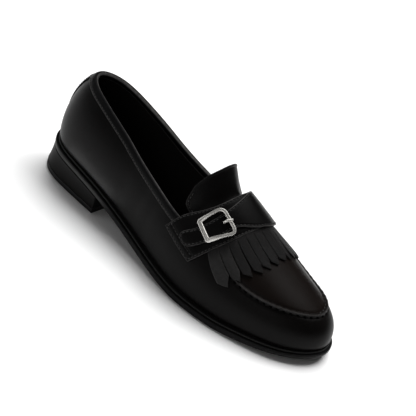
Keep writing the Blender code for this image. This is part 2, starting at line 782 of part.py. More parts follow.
def build():
    """Clears the file and builds every piece."""
    for obj in list(bpy.data.objects):
        bpy.data.objects.remove(obj)
    black = (0.016, 0.015, 0.015)
    gloss = {"upper": 0.42, "tongue": 0.45, "fringe": 0.50, "saddle": 0.42, "strap": 0.40,
             "binding": 0.45, "stay": 0.42, "insole": 0.60, "welt": 0.40}
    leather = {part: material(f"{part}_leather", black, 0.0, value) for part, value in gloss.items()}
    sole_mat = material("outsole_leather", (0.020, 0.018, 0.017), 0.0, 0.45)
    heel_mat = material("heel_leather", (0.018, 0.017, 0.016), 0.0, 0.45)
    lift_mat = material("top_lift_rubber", (0.022, 0.022, 0.022), 0.0, 0.70)
    metal = material("buckle_steel", (0.78, 0.77, 0.75), 1.0, 0.18)

    outsole_rim = ((1.0, -0.0007, 0.0), (1.0, 0.0, 0.18), (1.0, 0.0, 0.82), (1.0, -0.0005, 1.0))
    outsole_levels = (sole_z, sole_top)
    slab("outsole", outsole_rim, outsole_levels, 34, 4, sole_mat)
    welt_rim = ((1.0, -0.0020, 0.0), (1.0, -0.0020, 0.75), (1.0, -0.0023, 1.0))
    welt_levels = (lambda x: sole_top(x) + GAP, lambda x: feather_z(x) - GAP)
    slab("welt", welt_rim, welt_levels, 30, 2, leather["welt"])
    stack_levels = (lambda x: 0 * x + TOP_LIFT_T + GAP, lambda x: sole_z(x) - GAP)
    build_heel("heel_stack", stack_levels, (0.0016, 0.0004), heel_mat)
    lift_levels = (lambda x: 0 * x, lambda x: 0 * x + TOP_LIFT_T)
    build_heel("heel_top_lift", lift_levels, (0.0022, 0.0014), lift_mat)
    inset = -(WALL_T + 2 * GAP)
    insole_rim = ((0.0, inset, 0.0), (0.0, inset, 1.0))
    insole_levels = (feather_z, lambda x: feather_z(x) + INSOLE_T)
    slab("insole", insole_rim, insole_levels, 26, 2, leather["insole"])
    build_upper(leather["upper"])
    build_tongue(leather["tongue"])
    build_binding(leather["binding"])
    build_stay(leather["stay"])
    build_fringe(leather["fringe"])
    build_saddle(leather["saddle"])
    build_strap(leather["strap"])
    build_buckle(metal)
    build_prong(metal)


build()
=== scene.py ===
"""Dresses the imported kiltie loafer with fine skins, seams, stitches, materials, light and a camera.

The sizes, tables and curve functions are the same as the solids', in the same frame: metres,
+X to the toe, +Y to the inner side of the foot, +Z up, floor at z = 0.
"""
import math

import bpy
import numpy as np
from mathutils import Matrix


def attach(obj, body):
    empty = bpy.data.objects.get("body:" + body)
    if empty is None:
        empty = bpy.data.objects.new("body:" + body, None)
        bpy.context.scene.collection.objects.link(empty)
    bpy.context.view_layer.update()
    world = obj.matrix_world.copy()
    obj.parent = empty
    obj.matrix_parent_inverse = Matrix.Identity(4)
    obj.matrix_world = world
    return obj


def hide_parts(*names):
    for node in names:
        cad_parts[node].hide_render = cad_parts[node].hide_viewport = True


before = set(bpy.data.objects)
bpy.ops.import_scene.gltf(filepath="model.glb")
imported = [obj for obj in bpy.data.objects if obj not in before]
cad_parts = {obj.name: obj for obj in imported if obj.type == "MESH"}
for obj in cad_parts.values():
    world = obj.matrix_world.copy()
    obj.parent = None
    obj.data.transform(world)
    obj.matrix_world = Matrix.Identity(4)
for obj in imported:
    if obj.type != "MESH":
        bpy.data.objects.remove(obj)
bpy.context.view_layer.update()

# Driving sizes
GAP = 0.0003
FRAME_X = 0.1480
FRAME_Y = 0.0023
OUTSOLE_T = 0.0050
OUTSOLE_TOE_CUT = 0.0014
WELT_T = 0.0016
TOP_LIFT_T = 0.0050
INSOLE_T = 0.0030
WALL_T = 0.0022
BREAST_X = 0.0740
HEEL_LEAN = 0.0042
SEAM_HEIGHT = 0.0013
SEAM_BACK_X = 0.2040
INNER_RISE = 0.0025
BINDING_DROP = 0.0055
BINDING_T = 0.0008
BINDING_END_X = 0.1490
STAY_T = 0.0010
STAY_TOP_HALF = 0.0080
STAY_LOW_HALF = 0.0050
STAY_LOW_SHARE = 0.34
FRINGE_T = 0.0012
SADDLE_T = 0.0020
THROAT_INSET = 0.0008
SADDLE_TILT = 0.029
STRAP_T = 0.0018
TONGUE_T = 0.0022
TONGUE_GAP = 0.0013
TONGUE_RISE = 0.0115
FRINGE_STRIPS = 13
FRINGE_ROOT_SHARE = 0.565
FRINGE_TIP_SHARE = 0.670
FRINGE_TIP_X = 0.2432
FRINGE_SWEEP = 0.0420
FRINGE_FLARE = 0.028
BUCKLE_WIDE = 0.0027
BUCKLE_T = 0.0021
BUCKLE_LIFT = 0.0007
PRONG_R = 0.0009
HEEL_POLE = 0.036
TOE_POLE = 0.247
POLE_SOFT = 0.022

# Feather edge and half profiles: x, y, sole past the feather, bulge, wall share, shoulder share
LAST = dict(
    heel_back=(0.0018, 0.0030, 0.0022, 0.0080, 0.46, 0.78),
    heel_back_out=(0.0120, -0.0175, 0.0022, 0.0065, 0.46, 0.66),
    heel_out=(0.0430, -0.0265, 0.0026, 0.0085, 0.46, 0.60),
    waist_out=(0.1100, -0.0310, 0.0038, 0.0085, 0.45, 0.38),
    ball_out=(0.1880, -0.0430, 0.0045, 0.0060, 0.50, 0.52),
    toe_out=(0.2550, -0.0300, 0.0041, 0.0040, 0.60, 0.66),
    tip_out=(0.2860, -0.0100, 0.0029, 0.0030, 0.62, 0.66),
    tip=(0.2945, 0.0095, 0.0025, 0.0025, 0.62, 0.66),
    tip_in=(0.2855, 0.0290, 0.0029, 0.0030, 0.57, 0.63),
    toe_in=(0.2550, 0.0415, 0.0041, 0.0040, 0.53, 0.60),
    ball_in=(0.2150, 0.0475, 0.0045, 0.0050, 0.50, 0.51),
    instep_in=(0.1740, 0.0384, 0.0038, 0.0085, 0.475, 0.40),
    waist_in=(0.1300, 0.0250, 0.0030, 0.0160, 0.46, 0.55),
    heel_in=(0.0460, 0.0290, 0.0026, 0.0070, 0.46, 0.68),
    heel_back_in=(0.0130, 0.0230, 0.0022, 0.0065, 0.46, 0.66),
)

# Top line of the last: x, y, z
TOP_LINE = dict(
    heel=(0.020, 0.0030, 0.1040),
    cone=(0.085, 0.0040, 0.1000),
    throat=(0.125, 0.0040, 0.1040),
    instep=(0.165, 0.0050, 0.0895),
    band=(0.185, 0.0060, 0.0800),
    vamp=(0.205, 0.0070, 0.0694),
    toe=(0.245, 0.0095, 0.0518),
    end=(0.262, 0.0100, 0.0458),
)

# Underside of the outsole: x, z; below zero it rests on the floor
SOLE_LINE = dict(
    back=(0.000, 0.0242),
    seat=(0.035, 0.0222),
    breast=(0.075, 0.0168),
    shank=(0.105, 0.0106),
    waist=(0.140, 0.0045),
    tread=(0.170, 0.0008),
    ball=(0.192, -0.0004),
    flex=(0.215, -0.0003),
    spring=(0.245, 0.0014),
    toe=(0.275, 0.0042),
    tip=(0.300, 0.0072),
)

# Edge of the opening seen from the side: x, z
COLLAR = dict(
    back=(0.000, 0.0952),
    rear=(0.020, 0.0918),
    heel=(0.042, 0.0870),
    ankle=(0.060, 0.0818),
    side=(0.081, 0.0752),
    hollow=(0.097, 0.0695),
    fore=(0.114, 0.0645),
    low=(0.131, 0.0603),
    corner=(0.148, 0.0566),
    past=(0.186, 0.0540),
)

# Raised seam of the apron: x of the feather, height share of the profile on the outer and inner side
APRON = dict(
    heel=(0.000, 0.50, 0.50),
    waist=(0.120, 0.50, 0.50),
    band=(0.185, 0.49, 0.52),
    fringe=(0.215, 0.452, 0.490),
    vamp=(0.237, 0.442, 0.475),
    toe=(0.260, 0.474, 0.486),
    round=(0.282, 0.514, 0.519),
    tip=(0.300, 0.530, 0.530),
)

# Saddle across the instep: side share (-1 outer feather, 0 top line, 1 inner feather), rear x, front x
SADDLE = dict(
    outer_end=(-0.728, 0.1498, 0.1832),
    outer_low=(-0.650, 0.1543, 0.1882),
    outer_corner=(-0.580, 0.1578, 0.1922),
    outer_mid=(-0.420, 0.1692, 0.1997),
    outer_top=(-0.200, 0.1782, 0.2055),
    top=(0.000, 0.1800, 0.2080),
    inner_top=(0.200, 0.1780, 0.2070),
    inner_mid=(0.420, 0.1695, 0.1995),
    inner_corner=(0.580, 0.1605, 0.1905),
    inner_end=(0.640, 0.1570, 0.1865),
)

# Strap over the saddle, from its inner end to the tip past the buckle: side share, rear x, front x
STRAP = dict(
    inner_end=(0.760, 0.1480, 0.1760),
    inner_low=(0.640, 0.1560, 0.1850),
    inner_mid=(0.420, 0.1690, 0.2002),
    inner_top=(0.200, 0.1778, 0.2078),
    top=(0.000, 0.1820, 0.2085),
    narrowing=(-0.130, 0.1838, 0.2042),
    entry=(-0.260, 0.1836, 0.1974),
    buckle=(-0.380, 0.1815, 0.1948),
    past_buckle=(-0.500, 0.1764, 0.1898),
    tip_wide=(-0.600, 0.1692, 0.1830),
    tip_round=(-0.650, 0.1672, 0.1780),
    tip=(-0.672, 0.1696, 0.1748),
)

# Buckle frame corners along its middle line: side share, x
BUCKLE = dict(
    outer_rear=(-0.4806, 0.1743),
    inner_rear=(-0.2743, 0.1803),
    inner_front=(-0.2926, 0.2011),
    outer_front=(-0.5116, 0.1892),
)

# Tongue: reach behind the saddle's rear edge, half width in side share
TONGUE = dict(
    root=(-0.0120, 0.300),
    under=(-0.0040, 0.480),
    edge=(0.0010, 0.525),
    free=(0.0080, 0.515),
    upper=(0.0130, 0.468),
    round=(0.0170, 0.410),
    corner=(0.0200, 0.350),
    top=(0.0222, 0.240),
)


def table(rows):
    """Rows of a named table as an array."""
    return np.array(list(rows.values()), float)


def lengths(vectors):
    """Length of each vector."""
    return np.linalg.norm(vectors, axis=-1)


def spline(knots, values, period=None):
    """Smooth curve through the values at the knots; closed where a period is given."""
    t = np.asarray(knots, float)
    y = np.asarray(values, float)
    n = len(t)
    if period is not None:
        t = np.append(t, t[0] + period)
        y = np.vstack([y, y[:1]])
    step = np.diff(t)
    rise = np.diff(y, axis=0) / step[:, None]
    lhs = np.zeros((len(t), len(t)))
    rhs = np.zeros_like(y)
    for i in range(1, len(t) - 1):
        lhs[i, i - 1:i + 2] = 1 / step[i - 1], 2 / step[i - 1] + 2 / step[i], 1 / step[i]
        rhs[i] = 3 * (rise[i - 1] / step[i - 1] + rise[i] / step[i])
    if period is None:
        lhs[0, :2] = 2, 1
        lhs[-1, -2:] = 1, 2
        rhs[0] = 3 * rise[0]
        rhs[-1] = 3 * rise[-1]
    else:
        lhs[0, [0, 1, n - 1]] = 2 / step[-1] + 2 / step[0], 1 / step[0], 1 / step[-1]
        rhs[0] = 3 * (rise[-1] / step[-1] + rise[0] / step[0])
        lhs[n, [0, n]] = 1, -1
    slope = np.linalg.solve(lhs, rhs)

    def at(x):
        x = np.atleast_1d(np.asarray(x, float))
        x = np.clip(x, t[0], t[-1]) if period is None else t[0] + np.mod(x - t[0], period)
        i = np.clip(np.searchsorted(t, x, side="right") - 1, 0, len(t) - 2)
        h = step[i]
        u = ((x - t[i]) / h)[:, None]
        h = h[:, None]
        return ((1 + 2 * u) * (1 - u) ** 2 * y[i] + u * (1 - u) ** 2 * h * slope[i]
                + u * u * (3 - 2 * u) * y[i + 1] + u * u * (u - 1) * h * slope[i + 1])

    return at


def curve_of(rows):
    """Curve through a table, driven by its first column."""
    data = table(rows)
    return spline(data[:, 0], data[:, 1:])


# Outline of the feather, run from the heel back along the outer side to the toe and back
rows = table(LAST)
legs = lengths(np.diff(np.vstack([rows[:, :2], rows[:1, :2]]), axis=0))
AROUND = legs.sum()
outline = spline(np.concatenate([[0], np.cumsum(legs)[:-1]]), rows, period=AROUND)
dense_t = np.linspace(0, AROUND, 8001)
dense_x = outline(dense_t)[:, 0]
T_FRONT = dense_t[dense_x.argmax()]
T_BACK = dense_t[dense_x.argmin()] - (AROUND if dense_x.argmin() > 4000 else 0)
X_BACK, X_FRONT = dense_x.min(), dense_x.max()
outer_t = np.linspace(T_BACK, T_FRONT, 4001)
inner_t = np.linspace(T_BACK + AROUND, T_FRONT, 4001)
outer_x = outline(outer_t)[:, 0]
inner_x = outline(inner_t)[:, 0]
top_line = curve_of(TOP_LINE)
sole_line = curve_of(SOLE_LINE)
collar_line = curve_of(COLLAR)
apron_line = curve_of(APRON)
saddle_line = curve_of(SADDLE)
outer_share = np.linspace(SADDLE["outer_end"][0], 0, 200)
inner_share = np.linspace(SADDLE["inner_end"][0], 0, 200)
throat_outer = saddle_line(outer_share)[:, 0], 1 + outer_share
throat_inner = saddle_line(inner_share)[:, 0], 1 - inner_share
strap_line = spline(-table(STRAP)[:, 0], table(STRAP)[:, 1:])


def sole_z(x):
    """Height of the outsole's underside."""
    return np.maximum(sole_line(x)[:, 0], 0.0)


def sole_top(x):
    """Top of the outsole, which is thinner towards the toe."""
    return sole_z(x) + OUTSOLE_T - OUTSOLE_TOE_CUT * smooth((x - 0.235) / 0.050)


def feather_z(x):
    """Height of the welt's top, where the upper starts."""
    return sole_top(x) + WELT_T + 2 * GAP


def outline_t(x, side):
    """Place on the outline at x; side below zero is the outer one."""
    x = np.clip(x, X_BACK, X_FRONT)
    return np.where(np.asarray(side) < 0, np.interp(x, outer_x, outer_t), np.interp(x, inner_x, inner_t))


def outline_point(t, past):
    """Points of the outline, moved outwards by a share of the sole's reach past it plus a length."""
    t = np.atleast_1d(t)
    row = outline(t)
    along = outline(t + 1e-4)[:, :2] - outline(t - 1e-4)[:, :2]
    along /= lengths(along)[:, None]
    out = np.column_stack([along[:, 1], -along[:, 0]])
    share, length = past
    return row[:, :2] + out * (share * row[:, 2] + length)[:, None]


def soft_excess(d):
    """Smooth version of max(d, 0)."""
    return 0.5 * (d + np.sqrt(d * d + POLE_SOFT ** 2))


def last_point(t, v):
    """Outside of the last above outline place t; v is 0 at the feather and 1 on the top line."""
    t, v = np.broadcast_arrays(np.atleast_1d(np.asarray(t, float)), np.asarray(v, float))
    row = outline(t)
    x = row[:, 0]
    spine = x - soft_excess(x - TOE_POLE) + soft_excess(HEEL_POLE - x)
    mid = top_line(spine)
    fall = (top_line(spine + 1e-4)[:, 1] - top_line(spine - 1e-4)[:, 1]) / 2e-4
    pole = np.column_stack([spine, mid[:, 0]])
    away = row[:, :2] - pole
    reach = lengths(away)
    away /= reach[:, None]
    low = feather_z(x)
    rise = mid[:, 1] - low
    inner = row[:, 5] * reach
    shoulder = mid[:, 1] + fall * away[:, 0] * inner
    w = ((1 - v) ** 3, 3 * v * (1 - v) ** 2, 3 * v * v * (1 - v), v ** 3)
    h = w[0] * reach + w[1] * (reach + row[:, 3]) + w[2] * inner
    z = w[0] * low + w[1] * (low + row[:, 4] * rise) + w[2] * shoulder + w[3] * mid[:, 1]
    return np.column_stack([pole + away * h[:, None], z])


def last_normal(t, v):
    """Outward unit normals of the last."""
    t, v = np.broadcast_arrays(np.atleast_1d(np.asarray(t, float)), np.asarray(v, float))
    v = np.clip(v, 0.0, 0.985)
    dt, dv = 2e-4, 2e-3
    a = last_point(t + dt, v) - last_point(t - dt, v)
    b = last_point(t, v + dv) - last_point(t, v - dv)
    n = np.cross(a, b)
    return n / lengths(n)[:, None]


def raised(t, v, off):
    """Points at a height above the last, and its normals there."""
    normals = last_normal(t, v)
    return last_point(t, v) + normals * np.reshape(off, (-1, 1)), normals


def over(x, share, off):
    """Points above the last and its normals: feather x, side share from -1 (outer) to 1 (inner), height."""
    x, share, off = np.broadcast_arrays(x, share, off)
    flat = np.where(np.abs(share) < 1e-6, 1e-6, share).ravel()
    points, normals = raised(outline_t(x.ravel(), flat), 1 - np.abs(flat), off.ravel())
    return points.reshape(*x.shape, 3), normals.reshape(*x.shape, 3)


def smooth(d):
    """Smooth step from 0 to 1."""
    d = np.clip(d, 0.0, 1.0)
    return d * d * (3 - 2 * d)


def opening_share(t):
    """Share v of each half profile at which the opening's edge lies; 1 in front of the throat."""
    t = np.atleast_1d(t)
    low, high = np.zeros(len(t)), np.ones(len(t))
    x = outline(t)[:, 0] - THROAT_INSET
    is_outer = np.mod(t - T_BACK, AROUND) <= T_FRONT - T_BACK
    raised = np.where(is_outer, 0.0, INNER_RISE * smooth(x / 0.06))
    for _ in range(30):
        mid = (low + high) / 2
        p = last_point(t, mid)
        above = p[:, 2] > collar_line(p[:, 0])[:, 0] + raised
        high = np.where(above, mid, high)
        low = np.where(above, low, mid)
    throat = np.where(is_outer, np.interp(x, *throat_outer), np.interp(x, *throat_inner))
    return np.maximum(low, throat)


def placed(points):
    """Points moved from the tables' axes to the design frame."""
    return np.asarray(points, float) - (FRAME_X, FRAME_Y, 0.0)


def strap_under(share):
    """Clearance under the strap: over the saddle, and down on the upper at its inner end."""
    end = SADDLE["inner_end"][0]
    return GAP + (SADDLE_T + GAP) * smooth((end + 0.075 - share) / 0.065)


def saddle_share(share, step):
    """Side share of a point of the saddle, whose outer end is cut at a slant; step runs rear to front."""
    return share + SADDLE_TILT * smooth((-share - 0.45) / 0.25) * (0.5 - step)


def tongue_lift(reach):
    """Height of the tongue over the last: inside the upper at its root, then rising clear of the instep."""
    under = -(WALL_T + TONGUE_GAP)
    return under + TONGUE_RISE * np.clip((reach - 0.0020) / 0.0205, 0, None) ** 1.3


def profile_rate(t, top):
    """Length of each half profile per unit of share, just below the collar's edge."""
    return lengths(last_point(t, top) - last_point(t, top - 0.05)) / 0.05


def frame_height(share):
    """Level of the metal's underside over the strap."""
    return strap_under(share) + STRAP_T + BUCKLE_LIFT


# Sizes that only the finished surface shows
STITCH_PITCH = 0.0031
STITCH_LENGTH = 0.0022
THREAD_R = 0.00030
ROW_INSET = 0.0015
TONGUE_ROW_INSET = 0.0024
STAY_ROW_INSET = 0.0014
END_ROW_INSET = 0.0060
HEEL_RIM = 0.0150
SEAM_PITCH = 0.0056
SEAM_HOLE_OFFSET = 0.00160
RIDGE_HEIGHT = 0.0019
RIDGE_HALF = 0.00095
PIN_ENDS = ((-0.338, 0.1885), (-0.264, 0.1919))
FOCAL_PX = 2182.96
PICTURE_PX = 416
SENSOR_MM = 36.0
SLIT_HALF = 0.013
STRIP_WIDE = 0.0086
TONGUE_INNER_LIFT = 0.0046
BINDING_EXTRA = 0.0075
BLACK = (0.0022, 0.0020, 0.0020)

# Fringe ends by place from the end: cut on the outer and inner half, and how much shorter the strip is
OUTER_CUT = (0.0088, 0.0082, 0.0075)
INNER_CUT = (0.0045, 0.0060, 0.0078)
END_SHORTER = (0.0020, 0.0008, 0.0)

# Soft flex lines of the quarter ahead of the waist: x, half width, depth, height share they end at
CREASES = (
    (0.1180, 0.0048, 0.00022, 0.42),
    (0.1330, 0.0040, 0.00016, 0.36),
    (0.0980, 0.0060, 0.00018, 0.34),
)

fine_t = np.linspace(T_BACK + AROUND, T_FRONT, 40001)
fine_x = outline(fine_t)[:, 0]
threads = {}


def twin_t(x):
    """Place on the inner side of the outline with the same x."""
    return np.interp(x, fine_x, fine_t)


def unit(v):
    """Vectors scaled to length one."""
    return v / np.maximum(np.linalg.norm(v, axis=-1, keepdims=True), 1e-12)


def ease(a, b, x):
    """Smooth step of x from a to b."""
    return smooth((np.asarray(x, float) - a) / (b - a))


def bell(d, half):
    """Bell curve of a distance, 1 in its middle."""
    return np.exp(-(d / half) ** 2)


def make(name, points, faces, mats, slot_name, replaced=(), face_mat=None, attrs=None):
    """Mesh piece from points in the tables' axes; it rides on the shoe's only body."""
    mesh = bpy.data.meshes.new(name)
    mesh.from_pydata(placed(points).tolist(), [], [list(map(int, f)) for f in faces])
    for mat in mats:
        mesh.materials.append(mat)
    if face_mat is not None:
        mesh.polygons.foreach_set("material_index", np.asarray(face_mat, dtype=np.int32))
    mesh.polygons.foreach_set("use_smooth", [True] * len(mesh.polygons))
    for key, values in (attrs or {}).items():
        layer = mesh.attributes.new(key, "FLOAT", "POINT")
        layer.data.foreach_set("value", np.asarray(values, dtype=np.float32))
    mesh.update()
    obj = bpy.data.objects.new(name, mesh)
    bpy.context.scene.collection.objects.link(obj)
    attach(obj, "root")
    if replaced:
        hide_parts(*replaced)


def compact(points, faces):
    """Points without the unused ones, the faces renumbered to them, and the numbers that were kept."""
    used = np.unique(faces)
    renumber = np.full(len(points), -1)
    renumber[used] = np.arange(len(used))
    return points[used], renumber[faces], used


def outward(points, faces):
    """Quads turned so that the closed solid's normals point outwards."""
    corners = points[np.vstack([faces[:, [0, 1, 2]], faces[:, [0, 2, 3]]])]
    volume = (corners[:, 0] * np.cross(corners[:, 1], corners[:, 2])).sum()
    return faces if volume > 0 else faces[:, ::-1]


def sheet(name, outside, inside, edge, mat, slot_name, replaced, kept=None):
    """Closed piece between two grids; edge says how much the outside is lightened, partly edge scuffing and
    partly painted highlight; kept says which cells exist.
    """
    rows_n, cols_n = outside.shape[:2]
    if kept is None:
        kept = np.ones((rows_n - 1, cols_n - 1), bool)
    n = rows_n * cols_n
    index = np.arange(n).reshape(rows_n, cols_n)
    a, b, c, d = index[:-1, :-1], index[1:, :-1], index[1:, 1:], index[:-1, 1:]
    top = np.stack([a, b, c, d], -1)[kept]
    faces = [top, (top + n)[:, ::-1]]
    padded = np.pad(kept, 1)
    for one, two, (row, col) in ((a, b, (0, -1)), (b, c, (1, 0)), (c, d, (0, 1)), (d, a, (-1, 0))):
        rim = kept & ~padded[1 + row:rows_n + row, 1 + col:cols_n + col]
        p, q = one[rim], two[rim]
        faces.append(np.stack([q, p, p + n, q + n], -1))
    points = np.vstack([outside.reshape(-1, 3), inside.reshape(-1, 3)])
    points, faces, used = compact(points, np.vstack(faces))
    scuff_and_sheen_band = np.concatenate([edge.ravel(), np.zeros(n)])[used]
    make(name, points, outward(points, faces), [mat], slot_name, [replaced], attrs={"edge": scuff_and_sheen_band})


def ring_quads(index):
    """Quads between neighbouring rings of points, each ring closed."""
    turned = np.roll(index, -1, axis=1)
    return np.stack([index[:-1], turned[:-1], turned[1:], index[1:]], -1).reshape(-1, 4)


def tube(grid, joined=False):
    """Solid from rings of points; its two ends are joined to each other or capped."""
    points = grid.reshape(-1, 3)
    index = np.arange(len(points)).reshape(grid.shape[:2])
    faces = ring_quads(np.vstack([index, index[:1]]) if joined else index)
    turned = outward(points, faces)
    if joined:
        return points, turned
    caps = [index[0, ::-1].tolist(), index[-1].tolist()]
    same = (turned[0] == faces[0]).all()
    return points, turned.tolist() + [cap if same else cap[::-1] for cap in caps]


def swept(pos, side, up, radius, count, flat):
    """Rings of points round a path, flattened along its normal."""
    angle = np.linspace(0, 2 * np.pi, count + 1)[:-1, None]
    radius = radius[..., None, None]
    return (pos[..., None, :] + side[..., None, :] * np.cos(angle) * radius
            + up[..., None, :] * np.sin(angle) * radius * flat)


def dense(path, step=0.0004):
    """Path resampled to even steps, with its length from the start."""
    leg = lengths(np.diff(path[:, :3], axis=0))
    far = np.concatenate([[0], np.cumsum(leg)])
    s = np.linspace(0, far[-1], max(2, int(far[-1] / step) + 1))
    return np.column_stack([np.interp(s, far, column) for column in path.T]), s


def nearest(points, path):
    """Distance from each point to the nearest point of a dense path."""
    best = np.full(len(points), 1e9)
    for start in range(0, len(path), 60):
        part = path[start:start + 60]
        gap = ((points[:, None, :] - part[None, :, :]) ** 2).sum(-1).min(1)
        best = np.minimum(best, gap)
    return np.sqrt(best)


def distance_to(path, grid):
    """Distance of a grid's points from a path."""
    return nearest(grid.reshape(-1, 3), dense(path)[0]).reshape(grid.shape[:2])


def rim_of(grid):
    """Edge of a grid of points as a closed path."""
    return np.vstack([grid[:, 0], grid[-1, 1:], grid[::-1, -1][1:], grid[0, ::-1][1:]])


def stitches(group, path, normals, pitch=STITCH_PITCH, length=STITCH_LENGTH, thread_r=THREAD_R,
             lift=0.00012, slant=0.0):
    """Row of short arched threads along a path on the leather, kept under a group's name."""
    both, s = dense(np.hstack([path, normals]), 0.0002)
    count = int(s[-1] / pitch)
    if count < 1:
        return
    centre = (np.arange(count) + 0.5) * (s[-1] / count)
    u = np.linspace(-1, 1, 7)
    at = centre[:, None] + u * length / 2
    pos = np.stack([np.interp(at, s, both[:, k]) for k in range(3)], -1)
    up = unit(np.stack([np.interp(at, s, both[:, 3 + k]) for k in range(3)], -1))
    side = unit(np.cross(up, unit(np.gradient(pos, axis=1))))
    rise = lift + thread_r * (0.55 - 1.7 * np.abs(u) ** 3)
    pos = pos + up * rise[:, None] + side * (slant * length / 2 * u)[:, None]
    skin = swept(pos, side, up, thread_r * (1 - 0.35 * np.abs(u) ** 4), 6, 0.85)
    index = np.arange(skin[0].size // 3).reshape(skin.shape[1:3])
    first, last = index[0], index[-1]
    caps = [first[[3, 2, 1, 0]], first[[5, 4, 3, 0]], last[[0, 1, 2, 3]], last[[0, 3, 4, 5]]]
    quads = np.vstack([ring_quads(index), caps])
    faces = (quads[None] + (np.arange(count) * index.size)[:, None, None]).reshape(-1, 4)
    have = threads.setdefault(group, [])
    shift = sum(len(points) for points, _ in have)
    have.append((skin.reshape(-1, 3), faces + shift))


def inset(path, normals, distance, middle, closed=False):
    """Path moved over the surface towards the side of the panel's middle."""
    along = np.roll(path, -1, axis=0) - np.roll(path, 1, axis=0) if closed else np.gradient(path, axis=0)
    step = unit(np.cross(normals, unit(along))) * distance
    return min((path + step, path - step), key=lambda p: lengths(p - middle).mean())


def round_edge(d, thick, radius):
    """Height of a sheet's outside at a distance from its edge, with the edge rounded over."""
    d = np.clip(d, 0, radius)
    return thick - radius + np.sqrt(np.maximum(radius ** 2 - (radius - d) ** 2, 0))


def groove(d, at, half=0.00055, depth=0.00035):
    """Trough at a distance from an edge."""
    return depth * bell(d - at, half)


def edge_steps(width, middle):
    """Fractions across a width, close together near both edges."""
    fine = (0.0, 0.00012, 0.0003, 0.0006, 0.0009, 0.0012, 0.0015, 0.0018, 0.0022, 0.0028, 0.0038)
    f = np.array(fine) / width
    inner = np.linspace(f[-1], 1 - f[-1], middle)
    return np.concatenate([f[:-1], inner, (1 - f[:-1])[::-1]])


# Materials


def new_material(name):
    """Tools of a new material: one adds a node, one sets the shader; a socket as a value is linked."""
    mat = bpy.data.materials.new(name)
    mat.use_nodes = True
    tree = mat.node_tree

    def put(socket, value):
        if isinstance(value, bpy.types.NodeSocket):
            tree.links.new(value, socket)
        elif socket.type == "RGBA":
            socket.default_value = (*value, 1.0)
        else:
            socket.default_value = value

    def fill(node, values):
        for key, value in values.items():
            socket = node.inputs.get(key.replace("_", " "))
            if socket is None:
                setattr(node, key, value)
            else:
                put(socket, value)

    def add(kind, out=0, parts=(), **values):
        node = tree.nodes.new("ShaderNode" + kind)
        fill(node, values)
        for socket, value in zip(node.inputs, parts):
            put(socket, value)
        return node.outputs[out]

    def finish(height, strength, distance, colour, rough, **values):
        normal = add("Bump", Strength=strength, Distance=distance, Height=height)
        values = {"Base Color": colour, "Roughness": rough, "Normal": normal, **values}
        fill(tree.nodes["Principled BSDF"], values)
        return mat

    return add, finish


def scaled(colour, factor):
    """Colour made lighter or darker."""
    return tuple(c * factor for c in colour)


def leather(name, base=BLACK, rough=0.36, grain=0.00055, depth=0.10, brownish_reflection=None, specular=0.085, edge_scuff_and_sheen=0.0):
    """Black leather: pores and fine creases as bump, cloudy tone and gloss, a brownish painted reflection
    where its mask is given, and edges lightened in patches, partly edge scuffing and partly painted
    highlight.
    """
    add, finish = new_material(name)
    place = add("TexCoord", "Object")
    warp = add("TexNoise", "Color", Vector=place, Scale=260.0, Detail=2.0)
    moved = add("MixRGB", blend_type="LINEAR_LIGHT", Fac=0.0009, Color1=place, Color2=warp)
    cells = add("TexVoronoi", "Distance", feature="DISTANCE_TO_EDGE", Vector=moved, Scale=1.0 / grain)
    crease = add("MapRange", interpolation_type="SMOOTHSTEP", Value=cells, From_Max=0.18)
    fine = add("TexNoise", Vector=place, Scale=2600.0, Detail=3.0, Roughness=0.6)
    soft = add("TexNoise", Vector=place, Scale=150.0, Detail=2.0)
    height = add("Math", operation="MULTIPLY_ADD", parts=(fine, 0.5, crease))
    swell = add("Math", operation="MULTIPLY_ADD", parts=(soft, 1.4, height))
    cloud = add("TexNoise", Vector=place, Scale=38.0, Detail=4.0, Roughness=0.55)
    colour = add("MixRGB", Fac=cloud, Color1=scaled(base, 0.75), Color2=scaled(base, 1.25))
    # Painted reflection: the masked part is tinted brownish, standing in for a brownish reflection on the
    # apron and vamp.
    if brownish_reflection is not None:
        mask = add("Attribute", "Fac", attribute_name="brownish_reflection")
        colour = add("MixRGB", Fac=mask, Color1=colour, Color2=brownish_reflection)
    # Edges lightened by an attribute mask in noisy patches: partly edge scuffing, partly painted highlight
    # along the rounded edges.
    if edge_scuff_and_sheen:
        mask = add("Attribute", "Fac", attribute_name="edge")
        patch = add("TexNoise", Vector=place, Scale=420.0, Detail=3.0)
        amount = add("Math", operation="MULTIPLY", parts=(mask, patch))
        colour = add("MixRGB", Fac=amount, Color1=colour, Color2=(edge_scuff_and_sheen, edge_scuff_and_sheen * 0.97, edge_scuff_and_sheen * 0.95))
    gloss = add("MapRange", Value=cloud, To_Min=rough - 0.05, To_Max=rough + 0.08)
    return finish(swell, depth, 0.00035, colour, gloss, Specular_IOR_Level=specular)


def edge_dressing(name, base, rough, lines, depth=0.25, specular=0.5):
    """Sanded and dyed edge of sole or heel: fine layers along it and small nicks."""
    add, finish = new_material(name)
    place = add("TexCoord", "Object")
    stretch = add("Mapping", Vector=place, Scale=(40.0, 40.0, lines))
    layer = add("TexNoise", Vector=stretch, Scale=1.0, Detail=4.0, Roughness=0.7)
    nick = add("TexNoise", Vector=place, Scale=900.0, Detail=3.0, Roughness=0.7)
    total = add("Math", operation="MULTIPLY_ADD", parts=(nick, 0.6, layer))
    colour = add("MixRGB", Fac=layer, Color1=scaled(base, 0.6), Color2=scaled(base, 1.5))
    gloss = add("MapRange", Value=nick, To_Min=rough - 0.08, To_Max=rough + 0.12)
    return finish(total, depth, 0.0003, colour, gloss, Specular_IOR_Level=specular)


